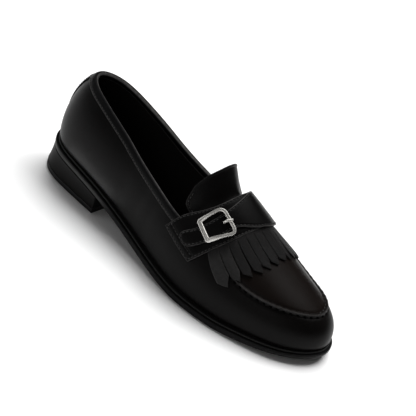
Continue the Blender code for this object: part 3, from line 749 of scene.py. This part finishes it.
def thread_material(name, base, rough, specular=0.5):
    """Waxed thread: a fine twist as bump."""
    add, finish = new_material(name)
    twist = add("TexNoise", Vector=add("TexCoord", "Object"), Scale=5200.0, Detail=2.0)
    colour = add("MixRGB", Fac=twist, Color1=scaled(base, 0.7), Color2=scaled(base, 1.3))
    return finish(twist, 0.5, 0.0001, colour, rough, Specular_IOR_Level=specular)


def metal_material(name):
    """Polished nickel plate with faint hairlines and cloudy spots."""
    add, finish = new_material(name)
    place = add("TexCoord", "Object")
    stretch = add("Mapping", Vector=place, Scale=(600.0, 2600.0, 2600.0))
    hair = add("TexNoise", Vector=stretch, Scale=1.0, Detail=3.0)
    spot = add("TexNoise", Vector=place, Scale=320.0, Detail=3.0)
    gloss = add("MapRange", Value=spot, To_Min=0.14, To_Max=0.30)
    colour = add("MixRGB", Fac=spot, Color1=(0.74, 0.72, 0.68), Color2=(0.86, 0.84, 0.80))
    return finish(hair, 0.02, 0.0001, colour, gloss, Metallic=0.78)


# The upper's brownish tint on the apron and vamp is a painted reflection; the lighter edges of these leathers
# are partly edge scuffing, partly painted highlight.
calf = leather("upper_calf", rough=0.36, brownish_reflection=(0.0052, 0.0036, 0.0030), edge_scuff_and_sheen=0.055)
band_calf = leather("band_calf", rough=0.34, edge_scuff_and_sheen=0.085)
tongue_calf = leather("tongue_calf", rough=0.38, edge_scuff_and_sheen=0.035)
grained_calf = leather("fringe_calf", base=(0.0054, 0.0050, 0.0050), rough=0.50, grain=0.0009, depth=0.45,
                       specular=0.20, edge_scuff_and_sheen=0.035)
binding_calf = leather("binding_calf", base=(0.0024, 0.0024, 0.0026), rough=0.34, depth=0.16, edge_scuff_and_sheen=0.085)
lining = leather("lining_leather", base=(0.0110, 0.0100, 0.0096), rough=0.55, grain=0.0008, depth=0.20)
sock = leather("sock_leather", base=(0.0150, 0.0130, 0.0120), rough=0.60, grain=0.0009, depth=0.22)
sole_edge = edge_dressing("sole_edge", (0.0070, 0.0069, 0.0069), 0.36, 1500.0, specular=0.08)
heel_edge = edge_dressing("heel_edge", (0.0045, 0.0043, 0.0042), 0.46, 1900.0, depth=0.12, specular=0.04)
lift_rubber = edge_dressing("lift_rubber", (0.0075, 0.0075, 0.0075), 0.62, 500.0, depth=0.35, specular=0.2)
tread = leather("tread_leather", base=(0.0120, 0.0095, 0.0080), rough=0.52, grain=0.0011, depth=0.20)
welt_edge = edge_dressing("welt_edge", (0.0100, 0.0098, 0.0096), 0.5, 900.0, specular=0.15)
# Black thread coloured much lighter than the leather: painted highlight, so the rows read as light dashes.
black_thread = thread_material("black_thread", (0.022, 0.0215, 0.021), 0.55)
# Apron seam thread: black, darker than the leather and nearly glossless, partly painted shade for the
# shadowed dashes of the seam.
seam_thread = thread_material("seam_thread", (0.0012, 0.0012, 0.0012), 0.8, 0.02)
nickel = metal_material("nickel_plate")


# Upper: the hollow shell with its pinched apron seam


front_t = T_BACK + (T_FRONT - T_BACK) * 0.615
outer_side = np.concatenate([np.linspace(T_BACK, front_t, 190)[:-1], np.linspace(front_t, T_FRONT, 270)])
inner_side = twin_t(outline(outer_side[1:-1])[:, 0])
loop_t = np.concatenate([outer_side, inner_side[::-1]])
loop_x = outline(loop_t)[:, 0]
half_n = len(outer_side)
around_n = len(loop_t)
loop_top = opening_share(loop_t)
for k in range(1, half_n - 1):
    if loop_top[k] > 0.9995 or loop_top[-k] > 0.9995:
        loop_top[k] = loop_top[-k] = 1.0
seam_v = np.where(np.arange(around_n) < half_n, *apron_line(loop_x).T)
seam_v = np.minimum(seam_v, 0.62 * loop_top)
seam_step = last_point(loop_t, seam_v + 0.01) - last_point(loop_t, seam_v - 0.01)
seam_rate = lengths(seam_step) / 0.02
seam_fade = ease(SEAM_BACK_X - 0.002, SEAM_BACK_X + 0.014, loop_x)
seam_line = last_point(loop_t, seam_v)
seam_far = np.concatenate([[0], np.cumsum(lengths(np.diff(seam_line, axis=0)))])
seam_far = seam_far - seam_far[half_n - 1]


def ridge(side_m, far):
    """Height of the pinched seam at a signed distance from its line and a length along it."""
    pull = 0.5 + 0.5 * np.cos(2 * np.pi * far / SEAM_PITCH)
    beside = np.abs(side_m)
    crest = RIDGE_HEIGHT * (1.0 - 0.10 * pull) * np.exp(-(beside / RIDGE_HALF) ** 2.6)
    valley = -0.00030 * bell(beside - 0.0023, 0.0008)
    hole = -0.00045 * pull ** 6 * bell(beside - 0.0013, 0.00045)
    pucker = 0.00006 * (0.5 - pull) * bell(beside - 0.0040, 0.0026)
    return crest + valley + hole + pucker


def upper_relief(v):
    """Height of the finished outside over the last, all the way round."""
    lift = ridge((v - seam_v) * seam_rate, seam_far) * seam_fade
    tuck = -0.0009 * (1 - np.clip(v / 0.055, 0, 1)) ** 2
    drape = np.where(np.arange(around_n) < half_n, 0.0004, 0.00032) * bell(v - 0.16, 0.13)
    flex = drape * bell(loop_x - 0.150, 0.055)
    for at, wide, deep, reach in CREASES:
        away = bell(loop_x - at - 0.012 * (v - 0.4), wide)
        flex = flex - deep * away * ease(0.0, 0.18, v) * (1 - ease(reach - 0.12, reach, v))
    return lift + tuck + flex


def build_upper_shell():
    """Closed hollow shell: finished outside, lining inside, both joined at the opening and at the sole."""
    near = np.array([0.0003, 0.0006, 0.00085, 0.0011, 0.0013, 0.0016, 0.0019, 0.0023, 0.0029, 0.0037, 0.0048])
    low = (0.0, 0.012, 0.026, 0.042, 0.062, 0.090, 0.125, 0.17, 0.22, 0.28, 0.34, 0.41, 0.48, 0.55, 0.62,
           0.69, 0.76, 0.83, 0.89, 0.95)
    reach = near[-1] / seam_rate
    rows = [(seam_v - reach) * u for u in low]
    rows += [seam_v + o / seam_rate for o in (*-near[::-1], 0.0, *near)]
    rows += [seam_v + reach + (loop_top - seam_v - reach) * u for u in np.linspace(0, 1, 22)[1:]]
    inner_u = np.linspace(0, 1, 15)
    outside = np.array([raised(loop_t, v, upper_relief(v))[0] for v in rows])
    inside = np.array([raised(loop_t, loop_top * u, -WALL_T)[0] for u in inner_u])
    inside[0, :, 2] = outside[0, :, 2]
    # One sheet that runs from the lining's foot up to the opening and down the outside
    grids = np.vstack([inside, outside[::-1]])
    rows_n = len(grids)
    index = np.arange(rows_n * around_n).reshape(rows_n, around_n)
    closed = loop_top >= 1.0
    fold = len(inner_u) - 1
    for k in np.flatnonzero(closed[half_n:]) + half_n:
        index[fold:fold + 2, k] = index[fold:fold + 2, around_n - k]
    quads = ring_quads(np.vstack([index, index[:1]])).reshape(rows_n, around_n, 4)
    kept = np.ones((rows_n, around_n), bool)
    kept[fold] = ~(closed & np.roll(closed, -1))
    mats = np.repeat(np.arange(rows_n) < fold, around_n).reshape(rows_n, around_n)[kept]
    points, faces, used = compact(grids.reshape(-1, 3), quads[kept])
    faces = [list(dict.fromkeys(f)) for f in outward(points, faces).tolist()]
    v_of = np.vstack([np.outer(inner_u, loop_top), rows[::-1]]).reshape(-1)[used]
    tiled = (np.tile(q, rows_n)[used] for q in (loop_x, seam_v, seam_rate, seam_fade))
    x_of, seam_of, rate_of, fade_of = tiled
    # Painted reflection: brownish tint on the apron above its seam, fainter over the whole forefoot.
    brownish_reflection = ease(-0.02, 0.06, v_of - seam_of) * ease(0.185, 0.225, x_of) * 0.8 + 0.15 * ease(0.15, 0.22, x_of)
    # Seam crest lightened in the material: partly scuffing of the crest, partly painted highlight.
    crest = bell((v_of - seam_of) * rate_of + 0.0001, 0.00062) * fade_of
    make("upper_shell", points, faces, [calf, lining], "upper_leather", ["upper"], mats,
         {"brownish_reflection": brownish_reflection, "edge": crest})


build_upper_shell()

for sign, group, pitch, length, radius in ((-1, "apron_seam_stitches", SEAM_PITCH, 0.0036, 0.00080),
                                           (1, "apron_inner_stitches", 0.0042, 0.0024, 0.00060)):
    chosen = np.flatnonzero(seam_fade > 0.5)
    if sign > 0:
        chosen = chosen[chosen > half_n - 8]
    offset = sign * SEAM_HOLE_OFFSET
    t = loop_t[chosen]
    v = seam_v[chosen] + offset / seam_rate[chosen]
    path, normals = raised(t, v, ridge(offset, SEAM_PITCH / 2) - 0.0001)
    tilt = unit(normals + sign * 0.6 * unit(last_point(t, v + 0.01) - last_point(t, v)))
    stitches(group, path, tilt, pitch, length, radius, lift=-0.00020, slant=0.30 * sign)


# Panels laid over the last


def panel(name, base_p, normals, thick, mat, slot_name, replaced, group, radius, row=ROW_INSET, crown=0.0,
          end_row=None, extra=None, scuff_and_sheen_band=0.0011, trough=(), sink=0.0002, part=None, **how):
    """Sheet over a grid of points and normals, its edges rounded over, with a stitch row along its edge.

    row is the distance of the stitches and their groove from the edge; end_row is a path with a second
    groove beside it; extra adds height by the distance from the edge; part limits where stitches go.
    """
    d = distance_to(rim_of(base_p), base_p)
    high = round_edge(d, thick, radius) + crown * ease(0.0, 0.010, d) - groove(d, row, *trough)
    if end_row is not None:
        high = high - groove(distance_to(end_row, base_p), END_ROW_INSET)
    if extra is not None:
        high = high + extra(d)
    # The band at the edge is lightened in the material: partly edge scuffing, partly painted highlight.
    sheet(name, base_p + normals * high[..., None], base_p, 1 - ease(0.0, scuff_and_sheen_band, d), mat, slot_name, replaced)
    row_inside(group, base_p, normals, thick - sink, row, part, **how)


def row_inside(group, base_p, normals, height, distance, part, **how):
    """Stitches at a distance inside a panel's edge, wherever the row stays on it and part allows."""
    path = rim_of(base_p)[:-1]
    up = rim_of(normals)[:-1]
    path = path + up * height
    moved = inset(path, up, distance, base_p.reshape(-1, 3).mean(0), closed=True)
    gap = nearest(moved, dense(np.vstack([path, path[:1]]))[0])
    keep = (gap > distance * 0.93) & (nearest(moved, (base_p + normals * height).reshape(-1, 3)) < 0.0011)
    if part is not None:
        keep &= part
    if keep.all():
        stitches(group, np.vstack([moved, moved[:1]]), np.vstack([up, up[:1]]), **how)
        return
    start = int(np.argmin(keep))
    run = []
    for k in [*((np.arange(len(keep)) + start) % len(keep)), start]:
        if keep[k]:
            run.append(k)
        elif run:
            if len(run) > 3:
                stitches(group, moved[run], up[run], **how)
            run = []


def between(edges, across):
    """Grid of x between the rear and front edges of a band."""
    return edges[:, :1] + (edges[:, 1:] - edges[:, :1]) * across[None]


def build_saddle_band():
    """Band across the instep with a stitch row along its edges and a second one at its outer end."""
    outer, inner = SADDLE["outer_end"][0], SADDLE["inner_end"][0]
    shares = outer + (inner - outer) * edge_steps(0.130, 170)
    edges = saddle_line(shares)
    across = edge_steps(0.034, 34)
    end_s = np.linspace(0, 1, 60)
    end_x = between(edges[:1], end_s)[0]
    end_share = saddle_share(np.full(60, outer), end_s)
    base_p, normals = over(between(edges, across), saddle_share(shares[:, None], across[None]), GAP)
    panel("saddle_band", base_p, normals, SADDLE_T, band_calf, "saddle_leather", "saddle", "band_stitches",
          0.0008, crown=0.0001, end_row=over(end_x, end_share, GAP)[0])
    path, up = over(end_x[3:-3], end_share[3:-3], GAP + SADDLE_T - 0.0002)
    stitches("band_stitches", inset(path, up, END_ROW_INSET, base_p.reshape(-1, 3).mean(0)), up)


def strap_edges(share):
    """Rear and front x of the strap with its tip drawn to a round end."""
    edges = strap_line(-share)
    middle = edges.mean(1)
    half = (edges[:, 1] - edges[:, 0]) / 2
    wide_share, rear, front = STRAP["tip_wide"]
    close = np.clip((share - STRAP["tip"][0] + 0.006) / 0.070, 0, 1)
    round_half = (front - rear) / 2 * np.sqrt(np.maximum(1 - (1 - close) ** 2.3, 0)) + 0.0004
    half = np.where(share < wide_share + 0.03, round_half, half)
    return np.column_stack([middle - half, middle + half])


def build_strap_band():
    """Strap over the band, through the buckle, with a stitch row all round."""
    start, tip = STRAP["inner_end"][0], STRAP["tip"][0] - 0.0058
    shares = np.concatenate([np.linspace(start, start - 0.03, 10)[:-1],
                             np.linspace(start - 0.03, -0.55, 190)[:-1], np.linspace(-0.55, tip, 46)])
    x = between(strap_edges(shares), edge_steps(0.024, 26))
    panel("strap_band", *over(x, shares[:, None], strap_under(shares)[:, None]), STRAP_T, band_calf,
          "strap_leather", "strap", "strap_stitches", 0.0007, crown=0.00025)


def build_fringe_strips():
    """Root band and thirteen strips with pointed tips, each lifted and turned a little differently."""
    local = np.array([0.0, 0.025, 0.07, 0.15, 0.30, 0.5, 0.70, 0.85, 0.93, 0.975, 1.0])
    strip = np.repeat(np.arange(FRINGE_STRIPS), len(local))
    inside_u = np.tile(local, FRINGE_STRIPS)
    columns = (strip + SLIT_HALF + (1 - 2 * SLIT_HALF) * inside_u) / FRINGE_STRIPS
    across = 2 * inside_u - 1
    wave = np.sin(strip * 2.4 + 0.8)
    other = np.sin(strip * 4.1 + 2.0)
    steps = np.concatenate([[0.0, 0.05], np.linspace(0.10, 0.93, 40), np.linspace(0.945, 1.0, 6)])
    grid = np.zeros((2, len(columns), len(steps), 3))
    edge = np.zeros((len(columns), len(steps)))
    tip_share = np.abs(2 * (strip + 0.5) / FRINGE_STRIPS - 1) * FRINGE_TIP_SHARE
    # The tips of the two strips nearest each end sit towards that end
    from_end = np.minimum(strip, FRINGE_STRIPS - 1 - strip)
    from_outer = np.where(strip < FRINGE_STRIPS / 2, inside_u, 1 - inside_u)
    tip_u = np.where(from_end < 2, 0.30, 0.50)
    cuts = (np.interp(from_end, (0, 1, 2), cut) for cut in (OUTER_CUT, INNER_CUT, END_SHORTER))
    outer_cut, inner_cut, shorter = cuts
    point = np.where(from_outer < tip_u, outer_cut * (tip_u - from_outer) / tip_u,
                     inner_cut * (from_outer - tip_u) / (1 - tip_u))
    end = FRINGE_TIP_X - FRINGE_SWEEP * tip_share ** 1.6 - point + 0.0004 * other - shorter
    for j, s in enumerate(steps):
        slit = s > 0.10
        spread = FRINGE_ROOT_SHARE + (FRINGE_TIP_SHARE - FRINGE_ROOT_SHARE) * s
        share = (2 * columns - 1) * spread + 0.0022 * other * s * s
        share = share - FRINGE_FLARE * s * (strip == 0) * (1 - inside_u)
        start = saddle_line(share)[:, 1] - 0.0006
        x = start + (end - start) * s
        seam = 1 - np.where(share < 0, *apron_line(x).T)
        low = GAP + SEAM_HEIGHT * ease(0, 0.3, s) * bell(np.abs(share) - seam, 0.075)
        low = low + s * s * (0.00025 + 0.00022 * wave + 0.00032 * other * across * slit)
        to_side = np.minimum(inside_u, 1 - inside_u) * STRIP_WIDE if slit else 0.004
        d = np.minimum(to_side, np.maximum((end - x) * 0.9, 0))
        # Strip edges lightened: partly scuffing, partly painted highlight; the two strips at the outer end
        # get it stronger and along their free length as painted highlight, where they catch the light.
        scuffed_and_lit = (1 - ease(0, 0.0007, d)) * np.where(strip < 2, 1.0, 0.5)
        edge[:, j] = np.maximum(scuffed_and_lit, 0.45 * (strip < 2) * ease(0.15, 0.4, s))
        high = low + round_edge(d, FRINGE_T, 0.00040) + 0.00016 * (1 - across ** 2) * slit
        grid[0, :, j] = over(x, share, high)[0]
        grid[1, :, j] = over(x, share, np.maximum(low, GAP))[0]
    kept = np.ones((len(columns) - 1, len(steps) - 1), bool)
    kept[len(local) - 1::len(local), 2:] = False
    sheet("fringe_strips", *grid, edge, grained_calf, "fringe_leather", "fringe", kept)


def build_tongue_pad():
    """Tongue with a stitch row inside its rounded edge and a soft crown."""
    row = spline(np.linspace(0, 1, len(TONGUE)), table(TONGUE))
    place = row(np.concatenate([np.linspace(0, 0.9, 60)[:-1], np.linspace(0.9, 1.0, 22)]))
    reach = place[:, 0]
    share = place[:, 1:] * (edge_steps(0.042, 44) * 2 - 1)
    x = saddle_line(share.ravel())[:, 0].reshape(share.shape) - reach[:, None]
    spread = ease(0.0, 0.0040, reach) * (1 - ease(0.006, 0.0215, reach))
    low = (tongue_lift(reach) - TONGUE_T)[:, None]
    low = low + TONGUE_INNER_LIFT * ease(0.18, 0.52, share) * spread[:, None]
    free = ease(0.004, 0.012, reach)[:, None]
    reach_of = rim_of(reach[:, None, None] + np.zeros((*share.shape, 1)))[:-1, 0]
    panel("tongue_pad", *over(x, share, low), TONGUE_T, tongue_calf, "tongue_leather", "tongue",
          "tongue_stitches", 0.0009, row=TONGUE_ROW_INSET, sink=0.0001, part=reach_of > -0.001,
          extra=lambda d: free * (0.0005 * ease(0.0022, 0.009, d) - 0.00012 * ease(0.0, 0.002, d)))


build_saddle_band()
build_strap_band()
build_fringe_strips()
build_tongue_pad()


# Collar binding and back strip


def build_collar_binding():
    """Folded binding with a round rim and a stitch row near each of its lower edges."""
    rear = np.linspace(T_BACK, outline_t([BINDING_END_X + BINDING_EXTRA], -1)[0], 270)
    t = np.concatenate([rear[::-1], twin_t(outline(rear)[1:, 0]) - AROUND])
    top = opening_share(t)
    rate = profile_rate(t, top)
    out_o = GAP + BINDING_T
    in_o = -WALL_T - out_o
    mid_o = (out_o + in_o) / 2
    half_o = (out_o - in_o) / 2
    outer_leg = [(-0.0057, GAP), (-0.0057, out_o - 0.00035), (-0.00555, out_o - 0.0001), (-0.0052, out_o),
                 (-0.0048, out_o - 0.00012), (-0.0045, out_o - 0.00034), (-0.0042, out_o - 0.00012),
                 (-0.0036, out_o + 0.00008), (-0.0026, out_o + 0.00012), (-0.0014, out_o + 0.00008)]
    rim = [(0.0012 * math.sin(a), mid_o + half_o * math.cos(a)) for a in np.linspace(0.0, math.pi, 13)]
    inner_leg = [(-0.0014, in_o - 0.00008), (-0.0028, in_o - 0.00010), (-0.0036, in_o - 0.00004),
                 (-0.0040, in_o + 0.00030), (-0.0044, in_o - 0.00004), (-0.0049, in_o),
                 (-0.0051, in_o + 0.00025), (-0.0051, -WALL_T - GAP)]
    section = outer_leg + rim + inner_leg + [(0.00025, -WALL_T - GAP), (0.00025, GAP)]

    def along(rise, off):
        return raised(t, np.clip(top + rise / rate, 0, 1), off)

    grid = np.stack([along(*place)[0] for place in section], 1)
    # Painted highlight, partly scuffing: the top of the round rim and the fold line of each leg are
    # lightened.
    scuffed_and_lit = np.zeros(grid.shape[:2])
    for part in (slice(len(outer_leg) + 5, len(outer_leg) + 9), slice(2, 4), slice(-7, -3)):
        scuffed_and_lit[:, part] = 1.0
    make("collar_rim", *tube(grid), [binding_calf], "binding_leather", ["collar_binding"],
         attrs={"edge": scuffed_and_lit.ravel()})
    for side, rise, off in ((1, -0.0045, out_o - 0.00030), (-1, -0.0040, in_o + 0.00026)):
        path, normals = along(rise, off)
        stitches("collar_stitches", path, side * normals, pitch=0.0029, length=0.0020)


def build_back_strip():
    """Narrow strip over the back seam, stitched along both sides."""
    side = edge_steps(0.013, 14) * 2 - 1
    rows = []
    for s in edge_steps(0.034, 50):
        t = T_BACK + side * (STAY_TOP_HALF + (STAY_LOW_HALF - STAY_TOP_HALF) * s)
        top = opening_share(t)
        high = top - 1.10 * BINDING_DROP / profile_rate(t, top)
        rows.append(raised(t, high - (high - STAY_LOW_SHARE * top) * s, GAP))
    panel("back_strip", *np.array(rows).transpose(1, 0, 2, 3), STAY_T, band_calf, "stay_leather", "back_stay",
          "back_stitches", 0.0005, row=STAY_ROW_INSET, scuff_and_sheen_band=0.0009, trough=(0.0004, 0.0002), sink=0.00015,
          pitch=0.0026, length=0.0018, thread_r=0.00025)


build_collar_binding()
build_back_strip()


# Sole, heel and sock


def plate(name, rows, low, high, count, mats, slot_name, replaced, end_x=None, cap_mats=(0, 0)):
    """Plate with the shoe's outline from rim rows: share past the feather, length past it, level.

    With end_x it is the heel's shape: cut off straight there, its back leaning.
    """
    across = 10
    front = T_FRONT if end_x is None else outline_t([end_x], -1)[0]
    outer = np.linspace(T_BACK, front, count)
    inner = twin_t(outline(outer[1:-1] if end_x is None else outer[1:])[:, 0])[::-1]
    rings = []
    for share, length, level in rows:
        one = outline_point(outer, (share, length))
        two = outline_point(inner, (share, length))
        line = np.zeros((0, 2))
        if end_x is not None:
            one[-1, 0] = two[0, 0] = end_x - max(0.0, -length) * 0.4
            line = one[-1] + (two[0] - one[-1]) * (np.arange(1, across) / across)[:, None]
        ring = np.vstack([one, line, two])
        z = low(ring[:, 0]) * (1 - level) + high(ring[:, 0]) * level
        if end_x is not None:
            ring[:, 0] -= HEEL_LEAN * (1 - z / SOLE_LINE["back"][1]) * (1 - ring[:, 0] / end_x)
        rings.append(np.column_stack([ring, z]))
    size = len(rings[0])
    points = [*rings]
    total = len(rings) * size
    faces = ring_quads(np.arange(total).reshape(-1, size)).tolist()
    mat_of = [0] * len(faces)
    for which, ring, base, level in ((0, rings[0], 0, low), (1, rings[-1], total - size, high)):
        lines = [[base]]
        for i in range(1, count - 1):
            filled = ring[i] + (ring[size - i] - ring[i]) * (np.arange(1, across) / across)[:, None]
            filled[:, 2] = level(filled[:, 0])
            lines.append([base + i, *range(total, total + across - 1), base + size - i])
            points.append(filled)
            total += across - 1
        lines.append([base + k for k in range(count - 1, size - count + 2)])
        for one, two in zip(lines[:-1], lines[1:]):
            for k in range(across):
                a, b = min(k, len(one) - 1), min(k, len(two) - 1)
                c, d = min(k + 1, len(two) - 1), min(k + 1, len(one) - 1)
                quad = list(dict.fromkeys((one[a], two[b], two[c], one[d])))
                faces.append(quad if which else quad[::-1])
                mat_of.append(cap_mats[which])
    make(name, np.vstack(points), faces, mats, slot_name, replaced, mat_of)


def rim_rows(top, inset_low, inset_high, lines=(), radius=0.0005, crown=0.0):
    """Rim rows of a plate's side: rounded at both edges, a little crowned, with fine lines cut in."""
    turn = np.linspace(0, math.pi / 2, 5)
    rows = [(radius * (1 - math.cos(a)), radius * (1 - math.sin(a))) for a in turn]
    levels = sorted({*np.linspace(radius * 1.6, top - radius * 1.6, 9),
                     *(c + d for c in lines for d in (-0.00022, 0.0, 0.00022))})
    rows += [(z, 0.00028 if z in lines else 0.0) for z in levels if radius < z < top - radius]
    rows += [(top - radius * (1 - math.sin(a)), radius * (1 - math.cos(a))) for a in turn]
    out = []
    for z, pull in rows:
        level = z / top
        edge_in = inset_low + (inset_high - inset_low) * level
        out.append((1.0, crown * 4 * level * (1 - level) - edge_in - pull, level))
    return out


def level_of(height):
    """Flat level for a plate."""
    return lambda x: 0 * x + height


plate("outsole_plate", rim_rows(OUTSOLE_T, 0.0003, 0.0000, lines=(0.0036,), radius=0.00075, crown=0.00015),
      sole_z, sole_top, 240, [sole_edge, tread], "outsole_leather", ["outsole"], cap_mats=(1, 0))
plate("welt_strip", rim_rows(WELT_T, 0.0020, 0.0024), lambda x: sole_top(x) + GAP,
      lambda x: feather_z(x) - GAP, 200, [welt_edge], "welt_leather", ["welt"])
plate("heel_block", rim_rows(HEEL_RIM, 0.0016, 0.0004, radius=0.0004, crown=-0.0004),
      level_of(TOP_LIFT_T + GAP), lambda x: sole_z(x) - GAP, 130, [heel_edge], "heel_leather", ["heel_stack"],
      end_x=BREAST_X)
plate("heel_lift", rim_rows(TOP_LIFT_T, 0.0022, 0.0014), level_of(0.0), level_of(TOP_LIFT_T), 130,
      [lift_rubber], "top_lift_rubber", ["heel_top_lift"], end_x=BREAST_X)
sock_in = WALL_T + 2 * GAP
plate("sock", [(0.0, -sock_in, 0.0), (0.0, -sock_in, 0.7), (0.0, -sock_in - 0.0003, 0.93),
               (0.0, -sock_in - 0.0009, 1.0)],
      feather_z, lambda x: feather_z(x) + INSOLE_T, 160, [sock], "insole_leather", ["insole"])


# Buckle


def build_buckle_frame():
    """Frame with a wide flat outer bar and rounded inner corners, bevelled all round."""
    corners = table(BUCKLE)
    rounding = (0.035, 0.27, 0.27, 0.035)
    bend = np.linspace(0, 1, 13)[:, None]
    run = np.linspace(0, 1, 15)[1:-1, None]
    path = []
    for k in range(4):
        here, after, r = corners[k], corners[(k + 1) % 4], rounding[k]
        start = here + (after - here) * r
        path.append((1 - bend) ** 2 * (here + (corners[k - 1] - here) * r) + 2 * bend * (1 - bend) * here
                    + bend * bend * start)
        path.append(start + (after + (here - after) * rounding[(k + 1) % 4] - start) * run)
    share, x = np.vstack(path).T
    low = over(x, share, frame_height(share))[0]
    up = unit(over(x, share, frame_height(share) + BUCKLE_T)[0] - low)
    across = unit(np.cross(up, unit(np.roll(low, -1, axis=0) - np.roll(low, 1, axis=0))))
    half = BUCKLE_WIDE / 2 * (1.02 + 0.34 * smooth((-share - 0.40) / 0.07))
    bevel = [(1.0, 0.60), (0.985, 0.68), (0.94, 0.75), (0.82, 0.89), (0.74, 0.95), (0.62, 0.985), (0.30, 1.0)]
    flat = [(-1.0, 0.10), (-0.92, 0.0), (0.92, 0.0), (1.0, 0.10)]
    section = flat + bevel + [(-a, b) for a, b in bevel[::-1]]
    grid = np.stack([low + across * (half * a)[:, None] + up * (BUCKLE_T * b) for a, b in section], 1)
    make("buckle_ring", *tube(grid, joined=True), [nickel], "buckle_steel", ["buckle_frame"])


def build_buckle_pin():
    """Pin that narrows to a round tip on the inner bar, with its foot at the strap's hole."""
    s = np.linspace(0, 1, 40)
    share, x = np.linspace(*PIN_ENDS, len(s)).T
    level = frame_height(share) + PRONG_R + (BUCKLE_T + GAP) * ease(0.02, 0.28, s)
    path = over(x, share, level)[0]
    along = unit(np.gradient(path, axis=0))
    across = unit(np.cross(over(x, share, level + 0.001)[0] - path, along))
    tip = 1 - np.clip((s - 0.93) / 0.075, 0, 1) ** 2
    thick = PRONG_R * (1.15 - 0.2 * s) * np.sqrt(np.clip(tip, 0.02, 1))
    grid = swept(path, across, np.cross(along, across), thick, 16, 0.8)
    make("buckle_pin", *tube(grid), [nickel], "buckle_steel", ["buckle_prong"])


build_buckle_frame()
build_buckle_pin()

# The apron seam's outer row takes the dark seam thread, partly painted shade; all other rows take the
# lightened black thread, painted highlight.
for group, parts in threads.items():
    thread = seam_thread if group == "apron_seam_stitches" else black_thread
    make(group, np.vstack([p for p, _ in parts]), np.vstack([f for _, f in parts]), [thread], "upper_leather")


# Floor, light and camera

bpy.ops.mesh.primitive_plane_add(size=12.0, location=(0.0, 0.0, -0.0002))
floor = bpy.context.object
floor.name = "floor"
add, finish = new_material("pale_paper")
fibre = add("TexNoise", Vector=add("TexCoord", "Object"), Scale=700.0, Detail=2.0)
floor.data.materials.append(finish(fibre, 0.02, 0.0002, (0.92, 0.92, 0.92), 0.85))


def posed(right, up, back, spot):
    """Matrix of an object from its three axes and its place."""
    return Matrix([(*row,) for row in np.column_stack([right, up, back, spot])] + [(0, 0, 0, 1)])


def area_light(name, place, target, size, energy):
    """Soft square light aimed at a point."""
    data = bpy.data.lights.new(name, "AREA")
    data.shape = "RECTANGLE"
    data.size, data.size_y = size
    data.energy = energy
    obj = bpy.data.objects.new(name, data)
    bpy.context.scene.collection.objects.link(obj)
    back = unit(np.array(place) - np.array(target))
    right = unit(np.cross((0.0, 0.0, 1.0), back) + (1e-6, 0, 0))
    obj.matrix_world = posed(right, np.cross(back, right), back, place)
    return obj


area_light("overhead", (-0.10, 0.95, 2.1), (0.0, 0.0, 0.0), (2.2, 1.4), 66.0).visible_glossy = False
area_light("softbox", (-0.30, 0.75, 2.2), (0.0, 0.0, 0.0), (2.4, 1.4), 26.0)
area_light("window", (-1.7, -1.3, 1.3), (0.0, 0.0, 0.03), (1.4, 1.1), 4.5)
area_light("fill", (0.5, -1.7, 1.0), (0.0, 0.0, 0.04), (1.4, 1.0), 3.0)
bounce = area_light("bounce", (-0.118, -0.050, 0.001), (-0.118, -0.050, 0.5), (0.075, 0.014), 0.011)
bounce.visible_camera = bounce.visible_diffuse = False
scene = bpy.context.scene
scene.world = bpy.data.worlds.new("studio")
scene.world.use_nodes = True
sky = scene.world.node_tree.nodes["Background"].inputs
sky["Color"].default_value = (1.0, 1.0, 1.0, 1.0)
sky["Strength"].default_value = 0.05
scene.view_settings.view_transform = "Standard"
scene.view_settings.look = "None"

# The camera's place and lens were fitted to the sole's edge, the heel, the collar and the buckle
lens = bpy.data.cameras.new("camera")
lens.sensor_width = SENSOR_MM
lens.sensor_fit = "HORIZONTAL"
lens.lens = FOCAL_PX / PICTURE_PX * SENSOR_MM
lens.clip_start = 0.05
lens.clip_end = 30.0
camera = bpy.data.objects.new("camera", lens)
scene.collection.objects.link(camera)
camera.matrix_world = posed((0.70222552, 0.64737537, 0.29628441), (-0.56208511, 0.2486973, 0.78880288),
                            (0.43696642, -0.72045457, 0.53852165), (0.76083706, -1.24067574, 0.9820957))
bpy.context.scene.camera = camera
